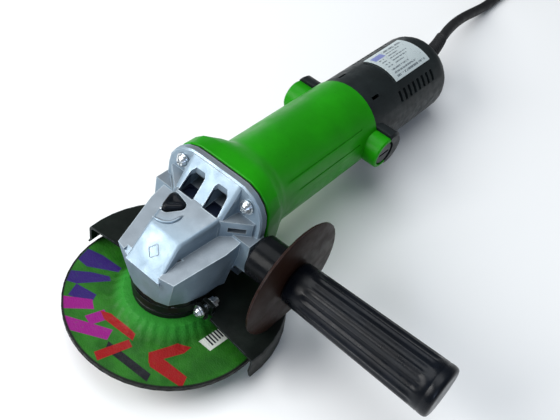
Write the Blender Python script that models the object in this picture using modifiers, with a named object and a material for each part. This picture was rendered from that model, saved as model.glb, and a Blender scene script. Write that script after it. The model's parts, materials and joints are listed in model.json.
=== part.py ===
"""Slim-bodied 125 mm angle grinder with side handle, guard, depressed-centre disc and coiled mains cord.

Every dimension is in millimetres in the tool's own frame: the spindle runs along Z, the motor along Y
towards the tail, and the side handle along +X. The tool frame is then pitched tail-down, so that the disc's
rear rim and the tail rest on the ground at Z = 0.
"""

from math import atan2, cos, hypot, pi, radians, sin, sqrt

import bmesh
import bpy
from mathutils import Matrix, Vector

MM = 0.001

# Grinding disc
DISC_R = 62.5
DISC_BOTTOM = -59.9
DISC_RIM_TOP = -56.6
DISC_HUB_TOP = -48.0
DISC_HUB_BOTTOM = -52.4
DISC_BORE_R = 11.1
DISC_HUB_R = 25.0
DISC_STEP_R = 35.0

# Gear head
CASE_BOTTOM = -33.0
CASE_FRONT = 26.0
LEDGE_FRONT_Y = -24.0
LEDGE_FRONT_Z = -6.8
LEDGE_SLOPE = radians(13.8)
FLANGE_FRONT = 26.8
FLANGE_REAR = 31.2
FLANGE_HALF_X = 35.5
FLANGE_HALF_Z = 33.5
FLANGE_CORNER = 20.0
CASE_SCREW_X = 24.0
CASE_SCREW_Z = 22.5
HANDLE_Y = 27.8
HANDLE_Z = -5.9
HANDLE_FACE_X = 36.6
HANDLE_THREAD_R = 4.85
HANDLE_EYE_R = 7.4
BOSS_BOTTOM = -15.8
COVER_SCREW_R = 20.9
COVER_REACH = 24.2
WINDOW_SILL = 11.2
NOSE_LEFT_X = -15.6
NOSE_RIGHT_X = 11.7

# Bevel gears, with both cones meeting at the tool frame's origin
GEAR_TEETH = 24
PINION_TEETH = 8
GEAR_PITCH_R = 17.0
GEAR_FACE_SHARE = 0.8
GEAR_RATIO = GEAR_TEETH / PINION_TEETH
PINION_PITCH_R = GEAR_PITCH_R / GEAR_RATIO
TOOTH_ADDENDUM = 0.75
TOOTH_DEDENDUM = 1.35
LOCK_HOLES = 8

# Spindle lock
LOCK_X = -9.8
LOCK_Y = 5.5
LOCK_CORNER_AT = 4.2
LOCK_CORNER_R = 2.8

# Motor
BODY_R = 28.4
BODY_FRONT = 33.2
BODY_REAR = 153.5
BODY_BORE_R = 26.2
ROTOR_R = 14.8
STATOR_BORE_R = 15.3
STATOR_R = 25.9
STATOR_HALF_X = 20.6
STATOR_FRONT = 66.0
STATOR_REAR = 108.0
COMMUTATOR_R = 11.5
BRUSH_Y = 150.0
EAR_X = 38.6
EAR_R = 10.8

# Tail
TAIL_R = 27.6
TAIL_BORE_R = 25.2
TAIL_FRONT = 153.9
TAIL_ROUND = 12.0
TAIL_END = 250.0
CORD_EXIT_Z = 5.0
VENT_COUNT = 8
VENT_FIRST_Y = 187.2
VENT_PITCH = 5.6
VENT_WIDTH = 2.6

# Switch
SWITCH_BAR_Z = -8.4
SWITCH_BAR_X = -21.7
SWITCH_BAR_END = 233.2
KNOB_Y = 100.0
KNOB_ANGLE = atan2(SWITCH_BAR_Z, SWITCH_BAR_X)

# Guard
GUARD_OFFSET = 3.5
GUARD_R = 67.0
GUARD_TOP = -40.6
GUARD_SKIRT_BOTTOM = -54.8
GUARD_WALL = 1.4
CLAMP_X = 28.6
CLAMP_Z = -37.1
GUARD_LUG_ANGLE = radians(-4.0)
COLLAR_INNER_R = 20.9
COLLAR_OUTER_R = 23.2

# Side handle
SLEEVE_R = 13.4
HAND_GUARD_X = 60.3
HAND_GUARD_R = 37.3
HAND_GUARD_FLAT_Z = -38.6
GRIP_START = 63.7
GRIP_END = 162.0
GRIP_FLUTES = 12

# Cord
CORD_R = 3.9
ARMOUR_LENGTH = 34.0
ARMOUR_RISE = 3.2
ARMOUR_DRIFT = -4.0
ARMOUR_TIP_R = 4.8
COIL_INNER_R = 36.8
COIL_OUTER_R = 53.2
COIL_HEIGHT = 32.7
COIL_STRAND_R = 49.1
COIL_CENTRE_X = -58.0
COIL_CENTRE_Y = 447.0
PLUG_R = 10.6

UP = "Z"
AFT = "Y"
RIGHT = "X"


def clear_scene():
    for old in list(bpy.data.objects):
        bpy.data.objects.remove(old, do_unlink=True)


def make_collections():
    """The tool's pieces go in one collection, and the shapes that cut or join them in a hidden one."""
    grinder = bpy.data.collections.new("angle_grinder")
    forms = bpy.data.collections.new("forming_shapes")
    forms.hide_render = True
    for collection in (grinder, forms):
        bpy.context.scene.collection.children.link(collection)
    return grinder, forms


def finish_material(name, colour, roughness, metallic=0.0):
    material = bpy.data.materials.new(name)
    material.use_nodes = True
    shader = material.node_tree.nodes["Principled BSDF"]
    shader.inputs["Base Color"].default_value = (*colour, 1.0)
    shader.inputs["Roughness"].default_value = roughness
    shader.inputs["Metallic"].default_value = metallic
    return material


def turn_to(axis):
    """The rotation that takes local +Z to the named axis."""
    turns = {
        "Z": Matrix.Identity(4),
        "-Z": Matrix.Rotation(pi, 4, "X"),
        "Y": Matrix.Rotation(-pi / 2, 4, "X"),
        "X": Matrix.Rotation(pi / 2, 4, "Y"),
        "-X": Matrix.Rotation(-pi / 2, 4, "Y"),
    }
    return turns[axis]


def object_from(name, form, matrix=None):
    """A new object from a bmesh in millimetres, with its normals outwards."""
    if matrix is not None:
        bmesh.ops.transform(form, matrix=matrix, verts=form.verts)
    bmesh.ops.recalc_face_normals(form, faces=form.faces)
    bmesh.ops.scale(form, vec=(MM, MM, MM), verts=form.verts)
    mesh = bpy.data.meshes.new(name)
    form.to_mesh(mesh)
    form.free()
    made = bpy.data.objects.new(name, mesh)
    GRINDER.objects.link(made)
    return made


def settled(made):
    """Replaces the object's mesh by the one its modifiers make."""
    graph = bpy.context.evaluated_depsgraph_get()
    mesh = bpy.data.meshes.new_from_object(made.evaluated_get(graph))
    made.modifiers.clear()
    made.data = mesh
    return made


def turned(name, profile, axis=UP, at=(0, 0, 0), steps=24):
    """A turned piece: (radius, height) points from top to bottom, closed on the axis or into a ring."""
    mesh = bpy.data.meshes.new(name)
    solid = profile[0][0] == 0 and profile[-1][0] == 0
    count = len(profile)
    edges = [(i, i + 1) for i in range(count - 1)]
    if not solid:
        edges.append((count - 1, 0))
    mesh.from_pydata([(r * MM, 0, h * MM) for r, h in profile], edges, [])
    made = bpy.data.objects.new(name, mesh)
    GRINDER.objects.link(made)
    screw = made.modifiers.new("turn", "SCREW")
    screw.steps = steps
    screw.render_steps = steps
    screw.use_merge_vertices = True
    screw.merge_threshold = 0.00001
    settled(made)
    form = bmesh.new()
    form.from_mesh(made.data)
    bmesh.ops.remove_doubles(form, verts=form.verts, dist=0.000001)
    bmesh.ops.recalc_face_normals(form, faces=form.faces)
    place = Matrix.Translation(Vector(at) * MM) @ turn_to(axis)
    bmesh.ops.transform(form, matrix=place, verts=form.verts)
    form.to_mesh(made.data)
    form.free()
    return made


def rod(name, radius, low, high, axis=UP, at=(0, 0, 0), steps=24):
    return turned(name, [(0, high), (radius, high), (radius, low), (0, low)], axis, at, steps)


def ring(name, inner, outer, low, high, axis=UP, at=(0, 0, 0), steps=24):
    return turned(name, [(inner, high), (outer, high), (outer, low), (inner, low)], axis, at, steps)


def block(name, low, high):
    """A box between two opposite corners."""
    form = bmesh.new()
    bmesh.ops.create_cube(form, size=1.0)
    size = [b - a for a, b in zip(low, high)]
    centre = [(a + b) / 2 for a, b in zip(low, high)]
    bmesh.ops.scale(form, vec=size, verts=form.verts)
    bmesh.ops.translate(form, vec=centre, verts=form.verts)
    return object_from(name, form)


def prism(name, outline, low, high, axis=UP):
    """A flat outline pushed along an axis."""
    form = bmesh.new()
    corners = [form.verts.new((x, y, low)) for x, y in outline]
    base = form.faces.new(corners)
    pushed = bmesh.ops.extrude_face_region(form, geom=[base])
    moved = [item for item in pushed["geom"] if isinstance(item, bmesh.types.BMVert)]
    bmesh.ops.translate(form, vec=(0, 0, high - low), verts=moved)
    return object_from(name, form, turn_to(axis))


def loft(name, rings, closed=False):
    """Skin over rings of equal point counts, capped at both ends unless the rings close into a loop."""
    form = bmesh.new()
    rows = [[form.verts.new(point) for point in points] for points in rings]
    count = len(rows[0])
    pairs = list(zip(rows, rows[1:]))
    if closed:
        pairs.append((rows[-1], rows[0]))
    for first, second in pairs:
        for i in range(count):
            j = (i + 1) % count
            form.faces.new((first[i], first[j], second[j], second[i]))
    if not closed:
        form.faces.new(rows[0])
        form.faces.new(rows[-1])
    return object_from(name, form)


def reach(angle, half_x, half_z, corner):
    """Distance from the centre to a rounded rectangle's edge in one direction."""
    c, s = abs(cos(angle)), abs(sin(angle))
    flat_x, flat_z = half_x - corner, half_z - corner
    if c > 1e-9 and s * half_x / c <= flat_z:
        return half_x / c
    if s > 1e-9 and c * half_z / s <= flat_x:
        return half_z / s
    along = flat_x * c + flat_z * s
    return along + sqrt(max(along * along - flat_x**2 - flat_z**2 + corner**2, 0.0))


def section(y, half_x, half_z, corner, count=36):
    """A rounded rectangle about the motor axis, in the plane of one Y."""
    points = []
    for i in range(count):
        angle = 2 * pi * i / count
        r = reach(angle, half_x, half_z, corner)
        points.append((r * cos(angle), y, r * sin(angle)))
    return points


def roof(y, half_x, low, top, corner, side=None):
    """A rectangle with rounded upper corners, in the plane of one Y."""
    points = [(-(side or half_x), y, low), ((side or half_x), y, low)]
    for i in range(4):
        angle = radians(30 * i)
        points.append((half_x - corner + corner * cos(angle), y, top - corner + corner * sin(angle)))
    for i in range(4):
        angle = radians(90 + 30 * i)
        points.append((-half_x + corner + corner * cos(angle), y, top - corner + corner * sin(angle)))
    return points


def sector(name, inner, outer, start, stop, low, high, pieces=8):
    """Part of a tube about the motor axis, between two angles in degrees and two Y positions."""
    angles = [radians(start + (stop - start) * i / pieces) for i in range(pieces + 1)]
    outline = [(outer * cos(a), -outer * sin(a)) for a in angles]
    outline += [(inner * cos(a), -inner * sin(a)) for a in reversed(angles)]
    return prism(name, outline, low, high, AFT)


def mirrored_outline(half):
    """The right half of an outline, given front to rear, joined to its mirror image."""
    left = [(-x, y) for x, y in reversed(half) if abs(x) > 1e-6]
    return half + left


def formed(target, tool, operation="DIFFERENCE"):
    """Cuts the target by the tool, or joins them. The tool moves to the hidden collection."""
    GRINDER.objects.unlink(tool)
    FORMS.objects.link(tool)
    tool.display_type = "WIRE"
    tool.hide_render = True
    step = target.modifiers.new(tool.name, "BOOLEAN")
    step.object = tool
    step.operation = operation
    step.solver = "EXACT"
    return target


def cut(target, *tools):
    for tool in tools:
        formed(target, tool)


def join(target, *tools):
    for tool in tools:
        formed(target, tool, "UNION")


def eased(target, width, segments=2, angle=40):
    """Rounds the sharp edges."""
    step = target.modifiers.new("ease", "BEVEL")
    step.width = width * MM
    step.segments = segments
    step.limit_method = "ANGLE"
    step.angle_limit = radians(angle)
    step.use_clamp_overlap = True


def rest_tilt():
    """The pitch at which the disc's rear rim and the rounded tail touch one plane."""
    low, high = 0.0, radians(30)
    tail_y = TAIL_END - TAIL_ROUND
    tail_r = TAIL_R - TAIL_ROUND
    for _ in range(50):
        tilt = (low + high) / 2
        disc = -DISC_R * sin(tilt) + DISC_BOTTOM * cos(tilt)
        tail = -tail_y * sin(tilt) - tail_r * cos(tilt) - TAIL_ROUND
        if disc < tail:
            low = tilt
        else:
            high = tilt
    return (low + high) / 2


def tool_placement():
    """Pitches the tool tail-down and centres it over the origin, with its lowest point at Z = 0."""
    tilt = rest_tilt()
    lift = DISC_R * sin(tilt) - DISC_BOTTOM * cos(tilt)
    front = -DISC_R * cos(tilt) + DISC_BOTTOM * sin(tilt)
    armour_top = CORD_EXIT_Z + ARMOUR_RISE + ARMOUR_TIP_R
    rear = (TAIL_END + ARMOUR_LENGTH) * cos(tilt) + armour_top * sin(tilt)
    left = GUARD_OFFSET - GUARD_R - 0.9
    shift = Vector((-(GRIP_END + left) / 2, -(front + rear) / 2, lift)) * MM
    return Matrix.Translation(shift) @ Matrix.Rotation(-tilt, 4, "X")


def pivot(name, at):
    """An empty on a joint's axis, given in the tool frame."""
    empty = bpy.data.objects.new(name, None)
    empty.empty_display_size = 0.01
    GRINDER.objects.link(empty)
    empty.matrix_world = PLACEMENT @ Matrix.Translation(Vector(at) * MM)
    return empty


def belong(made, material, parent, smooth=40):
    """Gives a piece its material and shading, and hangs it and its forming shapes on a parent."""
    made.data.materials.clear()
    made.data.materials.append(material)
    bpy.context.view_layer.update()
    family = [made] + [step.object for step in made.modifiers if step.type == "BOOLEAN"]
    for item in family:
        item.parent = parent
        item.matrix_parent_inverse = parent.matrix_world.inverted() @ PLACEMENT
    for face in made.data.polygons:
        face.use_smooth = True
    made.data.set_sharp_from_angle(angle=radians(smooth))
    return made


def case_outline(shrink=0.0, rear=31.0):
    """The gear case's bottom outline: blunt nose, then sides that widen to the flange."""
    half = [(0, -22.8), (9, -21.8), (15.7, -18.9), (21, -10), (24, 2), (24.5, 12), (27, 20), (27, rear)]
    shrunk = [(max(x - shrink, 0) if x else 0, y + (shrink if y < 0 else 0)) for x, y in half]
    return mirrored_outline(shrunk)


def case_waist():
    """The outline at the height of the ledges, a little larger all round."""
    half = [(0, -26.0), (11, -25.4), (21.3, -23.4), (25, -8), (29, 8), (29.6, 15), (29.6, 22), (29.6, 31)]
    return mirrored_outline(half)


def make_gear_case():
    waist = case_waist()
    case = loft(
        "gear_case",
        [
            [(x, y, CASE_BOTTOM) for x, y in case_outline()],
            [(x, y, -7.0) for x, y in waist],
            [(x, y, 12.0) for x, y in waist],
        ],
    )
    ledge = block("ledge_cut", (-60, -20, 0), (60, 90, 60))
    ledge.data.transform(Matrix.Rotation(LEDGE_SLOPE, 4, "X"))
    ledge.data.transform(Matrix.Translation(Vector((0, LEDGE_FRONT_Y, LEDGE_FRONT_Z)) * MM))
    nose = [(-40.0, -29.5), (-40.0, 0.0), (-18.0, -1.7), (-27.0, -13.1)]
    cut(case, ledge, prism("nose_cut", [(-z, y) for y, z in nose], NOSE_LEFT_X, NOSE_RIGHT_X, RIGHT))
    hump = loft(
        "hump",
        [
            roof(-25.9, 12.8, -11.5, -10.9, 0.3),
            roof(-24.1, 12.8, -16, -8.6, 1.6),
            roof(-11.6, 12.2, -16, 7.2, 2.2),
            roof(-9.6, 12.5, -16, 8.6, 2.2),
            roof(13.6, 17.4, -16, 15.2, 2.6),
            roof(27.5, 19.4, -16, 17.0, 2.6),
        ],
    )
    shoulder = loft(
        "shoulder",
        [
            roof(12.6, 17.4, -5, 12.6, 3.0),
            roof(14.6, 17.9, -5, 15.6, 3.0),
            roof(22.8, 18.4, -5, 27.0, 3.0),
            roof(26.4, 18.4, -5, 32.2, 3.0),
            roof(29.0, 18.4, -5, 33.0, 3.0),
        ],
    )
    shelf = prism("shelf", mirrored_outline([(0, 12.4), (17.2, 13.6), (31.4, 25.4), (31.4, 29)]), -9, 14.4)
    flange = loft(
        "flange",
        [
            section(FLANGE_FRONT, FLANGE_HALF_X - 0.9, FLANGE_HALF_Z - 0.9, FLANGE_CORNER - 0.9),
            section(FLANGE_FRONT + 0.9, FLANGE_HALF_X, FLANGE_HALF_Z, FLANGE_CORNER),
            section(FLANGE_REAR, FLANGE_HALF_X, FLANGE_HALF_Z, FLANGE_CORNER),
        ],
    )
    join(case, hump, shelf, shoulder, flange)
    for side in (-1, 1):
        low_x, high_x = sorted((side * 20.0, side * (HANDLE_FACE_X - 0.6)))
        boss = block(f"handle_boss_{side}", (low_x, 18.7, BOSS_BOTTOM), (high_x, FLANGE_REAR - 0.3, 5.2))
        join(case, boss)
        facing = RIGHT if side > 0 else "-X"
        centre = (0, HANDLE_Y, HANDLE_Z)
        join(case, rod(f"handle_eye_{side}", HANDLE_EYE_R, 20.8, HANDLE_FACE_X, facing, centre))
    hollow_gear_case(case)
    return case


def hollow_gear_case(case):
    """Gear chamber, bearing seats, pinion bore, lock pocket, exhaust windows, pockets and screw holes."""
    chamber = turned(
        "chamber",
        [(0, -3.3), (16.9, -3.3), (18.3, -6.4), (18.3, -24), (18.9, -24.6), (18.9, -36), (0, -36)],
    )
    top_seat = rod("top_seat", 8.2, -6, 6.7)
    pinion_bore = rod("pinion_bore", 6.9, 5, 24, AFT)
    front_seat = rod("front_seat", 11.2, 21, 34, AFT)
    lock_pocket = prism("lock_pocket", lock_outline(0.45), 7.0, 24)
    lock_bore = rod("lock_bore", 1.8, -8, 9, UP, (LOCK_X, LOCK_Y, 0), 16)
    spring_seat = rod("spring_seat", 2.7, 3.6, 8, UP, (LOCK_X, LOCK_Y, 0), 16)
    cut(case, chamber, top_seat, pinion_bore, front_seat, lock_pocket, spring_seat, lock_bore)
    for side in (-1, 1):
        half = [(3.6, 13.2), (14.6, 13.2), (13.6, 21.4), (11.4, 23.4), (5.0, 23.4), (3.6, 22.0)]
        outline = [(side * x, y) for x, y in half]
        cut(case, prism(f"window_{side}", outline, WINDOW_SILL, 44))
        duct = [(16, -11.8), (36, -14.6), (36, -28.0), (25, -26.0), (19, -17.0), (16, -13.4)]
        low_x, high_x = sorted((side * 3.2, side * 14.8))
        channel = prism(f"duct_{side}", [(-z, y) for y, z in duct], low_x, high_x, RIGHT)
        channel.data.transform(Matrix.Scale(-1, 4, (0, 0, 1)))
        channel.data.flip_normals()
        cut(case, channel)
        cut(case, rod(f"scoop_{side}", 7.0, 5, FLANGE_FRONT + 0.02, AFT, (side * 25.0, 0, CASE_SCREW_Z)))
        low_x, high_x = sorted((side * 19.3, side * 44))
        cut(case, block(f"low_scoop_{side}", (low_x, 16.3, -44), (high_x, FLANGE_FRONT + 0.02, -16.6)))
        slot = block(f"side_slot_{side}", (-5.2, -4, 6.8), (5.2, 5, 10.2))
        slot.data.transform(Matrix.Rotation(radians(side * 40.0), 4, "Z"))
        slot.data.transform(Matrix.Translation(Vector((side * 25.2, 19.6, 0)) * MM))
        cut(case, slot)
        end = (0, HANDLE_Y, HANDLE_Z)
        facing = "X" if side > 0 else "-X"
        cut(case, rod(f"handle_thread_{side}", HANDLE_THREAD_R + 0.3, 22.5, 40, facing, end, 24))
        for up in (-1, 1):
            spot = (side * CASE_SCREW_X, 0, up * CASE_SCREW_Z)
            cut(case, rod(f"case_hole_{side}_{up}", 2.4, 20, 34, AFT, spot, 10))
            reach_xy = COVER_SCREW_R * sqrt(0.5)
            spot = (side * reach_xy, up * reach_xy, 0)
            cut(case, rod(f"cover_hole_{side}_{up}", 1.6, -40, -24, UP, spot, 10))


def lock_outline(grow):
    """The lock button's rounded triangle, with one corner towards the handle side."""
    points = []
    for corner in range(3):
        towards = radians(18 + 120 * corner)
        centre = (LOCK_X + LOCK_CORNER_AT * cos(towards), LOCK_Y + LOCK_CORNER_AT * sin(towards))
        for step in range(5):
            angle = towards + radians(-60 + 30 * step)
            r = LOCK_CORNER_R + grow
            points.append((centre[0] + r * cos(angle), centre[1] + r * sin(angle)))
    return points


def make_bearing_cover():
    outline = []
    for x, y in case_outline(0.3):
        inwards = min(1.0, COVER_REACH / hypot(x, y))
        outline.append((x * inwards, y * inwards))
    cover = prism("bearing_cover", outline, -36.3, -33.3)
    neck = rod("cover_neck", COLLAR_INNER_R - 0.3, -41.8, -36.0)
    spigot = rod("cover_spigot", 18.6, -34.0, -28.7)
    join(cover, neck, spigot)
    cut(cover, rod("bearing_room", 16.15, -38.4, -20), rod("seal_hole", 9.9, -50, -30))
    for side in (-1, 1):
        for up in (-1, 1):
            spot = (side * COVER_SCREW_R * sqrt(0.5), up * COVER_SCREW_R * sqrt(0.5), 0)
            sink = turned(
                f"sink_{side}_{up}",
                [(0, -30), (1.6, -30), (1.6, -34.8), (3.0, -36.2), (3.0, -40), (0, -40)],
                UP, spot, 10,
            )
            cut(cover, sink)
    return cover


def make_bearing(name, bore, outer, low, high, axis):
    """A sealed ball bearing, with the groove between its races on both faces."""
    third = (outer - bore) / 3
    groove = 0.45
    profile = [
        (bore, high), (bore + third, high), (bore + third, high - groove), (outer - third, high - groove),
        (outer - third, high), (outer, high), (outer, low), (outer - third, low),
        (outer - third, low + groove), (bore + third, low + groove), (bore + third, low), (bore, low),
    ]
    return turned(name, profile, axis, steps=16)


def pan_screw(name, head_r, head_high, shank_r, tip, axis, at):
    """A cross-recessed screw with a pressed washer. The head's underside is at height 0."""
    screw = turned(
        name,
        [
            (0, head_high), (head_r * 0.6, head_high), (head_r, head_high * 0.55), (head_r, 0.8),
            (head_r + 0.9, 0.8), (head_r + 0.9, 0), (shank_r, 0), (shank_r, tip), (0, tip),
        ],
        axis, at, 12,
    )
    for turn in (0, 90):
        reach_x = head_r * 0.62
        low, high = (-reach_x, -0.45, head_high - 0.9), (reach_x, 0.45, head_high + 1)
        slot = block(f"{name}_slot_{turn}", low, high)
        slot.data.transform(turn_to(axis) @ Matrix.Rotation(radians(turn + 25), 4, "Z"))
        slot.data.transform(Matrix.Translation(Vector(at) * MM))
        cut(screw, slot)
    return screw


def make_case_screw(name, x, z):
    screw = pan_screw(name, 3.7, 3.6, 2.0, -17, "Z", (0, 0, 0))
    turn = Matrix.Rotation(pi / 2, 4, "X")
    place = Matrix.Translation(Vector((x, FLANGE_FRONT - 0.3, z)) * MM) @ turn
    for item in [screw] + [step.object for step in screw.modifiers]:
        item.data.transform(place)
    return screw


def make_cover_screw(name, x, y):
    screw = turned(
        name, [(0, -25), (1.25, -25), (1.25, -34.9), (2.55, -36.2), (0, -36.2)], UP, (x, y, 0), 12
    )
    slot = block(f"{name}_slot", (-1.6, -0.35, -37), (1.6, 0.35, -35.6))
    slot.data.transform(Matrix.Translation(Vector((x, y, 0)) * MM))
    cut(screw, slot)
    return screw


def tooth_ring(teeth, pitch_r, lift, lean, share, points):
    """A ring of bevel teeth on the back cone.

    The pitch circle is at height lift, and lean is the pitch cone's half angle.

    Each tooth is given as (part of a pitch, depth), with depth measured out from the pitch cone.
    """
    ringed = []
    for tooth in range(teeth):
        for part, depth in points:
            angle = 2 * pi * (tooth + part) / teeth
            r = (pitch_r + depth * cos(lean)) * share
            h = (lift + depth * sin(lean)) * share
            ringed.append((r * cos(angle), r * sin(angle), h))
    return ringed


def circle_ring(count, r, h, start=0.0):
    """Points evenly round the axis, started partway so that they pair with the teeth."""
    angles = [2 * pi * (i + start) / count for i in range(count)]
    return [(r * cos(angle), r * sin(angle), h) for angle in angles]


def make_bevel_gear():
    """Face gear on the spindle. Its teeth look up at the pinion, and its web takes the lock pin."""
    lean = atan2(GEAR_PITCH_R, PINION_PITCH_R)
    shape = [
        (-0.18, -TOOTH_DEDENDUM), (-0.07, TOOTH_ADDENDUM), (0.07, TOOTH_ADDENDUM), (0.18, -TOOTH_DEDENDUM),
    ]
    count = GEAR_TEETH * len(shape)
    outer = tooth_ring(GEAR_TEETH, GEAR_PITCH_R, -PINION_PITCH_R, lean, 1.0, shape)
    inner = tooth_ring(GEAR_TEETH, GEAR_PITCH_R, -PINION_PITCH_R, lean, GEAR_FACE_SHARE, shape)
    rings = [circle_ring(count, 14.4, -12.0, -0.72), outer, inner]
    gear = loft("bevel_gear", rings, closed=True)
    web = turned(
        "gear_web",
        [(6.3, -8.2), (13.6, -8.2), (15.2, -11.2), (15.2, -13.6), (9.0, -13.6), (9.0, -20.4), (6.3, -20.4)],
        steps=30,
    )
    join(gear, web)
    for hole in range(LOCK_HOLES):
        angle = 2 * pi * hole / LOCK_HOLES + atan2(LOCK_Y, LOCK_X)
        spot = (hypot(LOCK_X, LOCK_Y) * cos(angle), hypot(LOCK_X, LOCK_Y) * sin(angle), 0)
        cut(gear, rod(f"lock_hole_{hole}", 1.9, -12.2, -5, UP, spot, 10))
    return gear


def make_pinion():
    """Drive pinion on the armature shaft, with a gap where the face gear has a tooth at the tail side."""
    lean = atan2(PINION_PITCH_R, GEAR_PITCH_R)
    shape = [
        (0.5 - 0.18, -TOOTH_DEDENDUM), (0.5 - 0.07, TOOTH_ADDENDUM),
        (0.5 + 0.07, TOOTH_ADDENDUM), (0.5 + 0.18, -TOOTH_DEDENDUM),
    ]
    count = PINION_TEETH * len(shape)
    rings = [
        tooth_ring(PINION_TEETH, PINION_PITCH_R, GEAR_PITCH_R, lean, 1.0, shape),
        tooth_ring(PINION_TEETH, PINION_PITCH_R, GEAR_PITCH_R, lean, GEAR_FACE_SHARE, shape),
        circle_ring(count, 3.2, GEAR_PITCH_R * GEAR_FACE_SHARE + 0.15, 0.32 * len(shape)),
        circle_ring(count, 3.2, 20.6, 0.32 * len(shape)),
        circle_ring(count, 4.9, 20.6, 0.32 * len(shape)),
        circle_ring(count, 4.9, 17.9, 0.32 * len(shape)),
    ]
    turn = turn_to(AFT) @ Matrix.Rotation(pi / 2, 4, "Z")
    rings = [[tuple(turn @ Vector(point)) for point in points] for points in rings]
    return loft("pinion", rings, closed=True)


def make_spindle():
    return turned(
        "spindle",
        [
            (0, 6.4), (2.1, 6.4), (2.35, 6.1), (2.35, 1.0),
            (4.9, 1.0), (4.9, -7.4), (6.0, -7.6), (6.0, -21.0),
            (9.2, -21.2), (9.2, -28.7), (7.35, -28.9), (7.35, -38.9), (9.2, -39.0), (9.2, -42.0),
            (6.85, -42.1), (6.85, -58.2), (6.2, -58.9), (0, -58.9),
        ],
        steps=20,
    )


def make_inner_flange():
    return turned(
        "inner_flange",
        [
            (7.15, -42.3), (19.5, -42.3), (22.4, -44.4), (22.4, -47.7),
            (10.8, -47.7), (10.8, -50.0), (7.15, -50.0),
        ],
        steps=30,
    )


def make_lock_nut():
    nut = turned(
        "lock_nut",
        [
            (7.15, -50.3), (10.8, -50.3), (10.8, -52.7), (19.2, -52.7),
            (20.2, -53.7), (20.2, -58.4), (7.15, -58.4),
        ],
        steps=30,
    )
    for i in range(4):
        angle = pi / 2 * i
        spot = (14.5 * cos(angle), 14.5 * sin(angle), 0)
        cut(nut, rod(f"pin_hole_{i}", 2.2, -60, -55, UP, spot, 10))
    return nut


def make_disc():
    return turned(
        "grinding_disc",
        [
            (DISC_BORE_R, DISC_HUB_TOP), (DISC_HUB_R, DISC_HUB_TOP), (27.4, DISC_HUB_TOP - 0.6),
            (33.4, DISC_RIM_TOP + 0.6), (DISC_STEP_R, DISC_RIM_TOP), (DISC_R, DISC_RIM_TOP),
            (DISC_R, DISC_BOTTOM), (36.6, DISC_BOTTOM), (34.0, -58.9),
            (27.6, -53.2), (25.6, DISC_HUB_BOTTOM), (DISC_BORE_R, DISC_HUB_BOTTOM),
        ],
        steps=48,
    )


def make_guard():
    """Sheet-steel shell over the rear half of the disc, with its clamp collar and lugs."""
    rings = []
    pieces = 24
    for i in range(pieces + 1):
        angle = radians(-6 + 192 * i / pieces)
        centre_reach = GUARD_OFFSET * cos(angle)
        centre_reach += sqrt(GUARD_R**2 - (GUARD_OFFSET * sin(angle)) ** 2)
        rim = centre_reach
        inner, bottom = COLLAR_OUTER_R - 0.4, GUARD_SKIRT_BOTTOM
        profile = [
            (inner, GUARD_TOP), (rim - 2.2, GUARD_TOP), (rim - 0.6, GUARD_TOP - 0.6),
            (rim, GUARD_TOP - 2.2), (rim - 0.5, bottom + 3.0), (rim + 0.9, bottom),
            (rim + 0.9 - GUARD_WALL, bottom), (rim - 0.5 - GUARD_WALL, bottom + 3.0),
            (rim - GUARD_WALL, GUARD_TOP - 2.8), (rim - 2.8, GUARD_TOP - GUARD_WALL),
            (inner, GUARD_TOP - GUARD_WALL),
        ]
        rings.append([(r * cos(angle), r * sin(angle), z) for r, z in profile])
    shell = loft("guard_shell", rings)
    collar = ring("collar", COLLAR_INNER_R - 0.4, COLLAR_OUTER_R, -41.8, -36.7, steps=48)
    join(shell, collar)
    for side, name in ((-1, "front"), (1, "rear")):
        low_y, high_y = sorted((side * 1.3, side * 3.7))
        outline = [(21.6, 41.3), (33.0, 41.3), (33.0, 34.2), (24.9, 34.2), (24.9, 36.9), (21.6, 36.9)]
        lug = prism(f"lug_{name}", outline, low_y, high_y, AFT)
        lug.data.transform(Matrix.Rotation(GUARD_LUG_ANGLE, 4, "Z"))
        join(shell, lug)
    gap = block("collar_gap", (15, -1.35, -45), (34.5, 1.35, -30))
    gap.data.transform(Matrix.Rotation(GUARD_LUG_ANGLE, 4, "Z"))
    room = rod("collar_room", COLLAR_INNER_R, -45, -30, steps=64)
    hole = rod("lug_hole", 2.3, -8, 8, AFT, (CLAMP_X, 0, CLAMP_Z), 16)
    hole.data.transform(Matrix.Rotation(GUARD_LUG_ANGLE, 4, "Z"))
    cut(shell, room, gap, hole)
    return shell


def make_guard_screw():
    """Clamp screw across the collar's lugs, head to the front."""
    screw = pan_screw("guard_screw", 3.2, 3.4, 2.0, -13.5, "Z", (0, 0, 0))
    place = guard_clamp_place(-4.0)
    for item in [screw] + [step.object for step in screw.modifiers]:
        item.data.transform(place)
    return screw


def hex_nut(name, bore, across_flats, low, high, place):
    """A hexagon nut along local Z, with two flats facing along local Y."""
    corner = across_flats / 2 / cos(pi / 6)
    nut = prism(name, [(corner * cos(pi * i / 3), corner * sin(pi * i / 3)) for i in range(6)], low, high)
    cut(nut, rod(f"{name}_bore", bore, low - 1, high + 1, steps=16))
    for item in [nut] + [step.object for step in nut.modifiers]:
        item.data.transform(place)
    return nut


def guard_clamp_place(y):
    """From a clamp part's own frame, its axis along Z, to the clamp on the guard's collar."""
    at = Matrix.Translation(Vector((CLAMP_X, y, CLAMP_Z)) * MM)
    return Matrix.Rotation(GUARD_LUG_ANGLE, 4, "Z") @ at @ Matrix.Rotation(pi / 2, 4, "X")


def make_guard_nut():
    return hex_nut("guard_nut", 2.3, 6.4, -3.2, 0, guard_clamp_place(4.0))


def make_lock_button():
    """Domed cap over the lock pin."""
    low, top = 10.8, 15.0
    rings = []
    for height, grow in ((low, 0.0), (13.2, 0.0), (14.4, -0.5), (top, -1.6)):
        rings.append([(x, y, height) for x, y in lock_outline(grow)])
    return loft("lock_button", rings)


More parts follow.
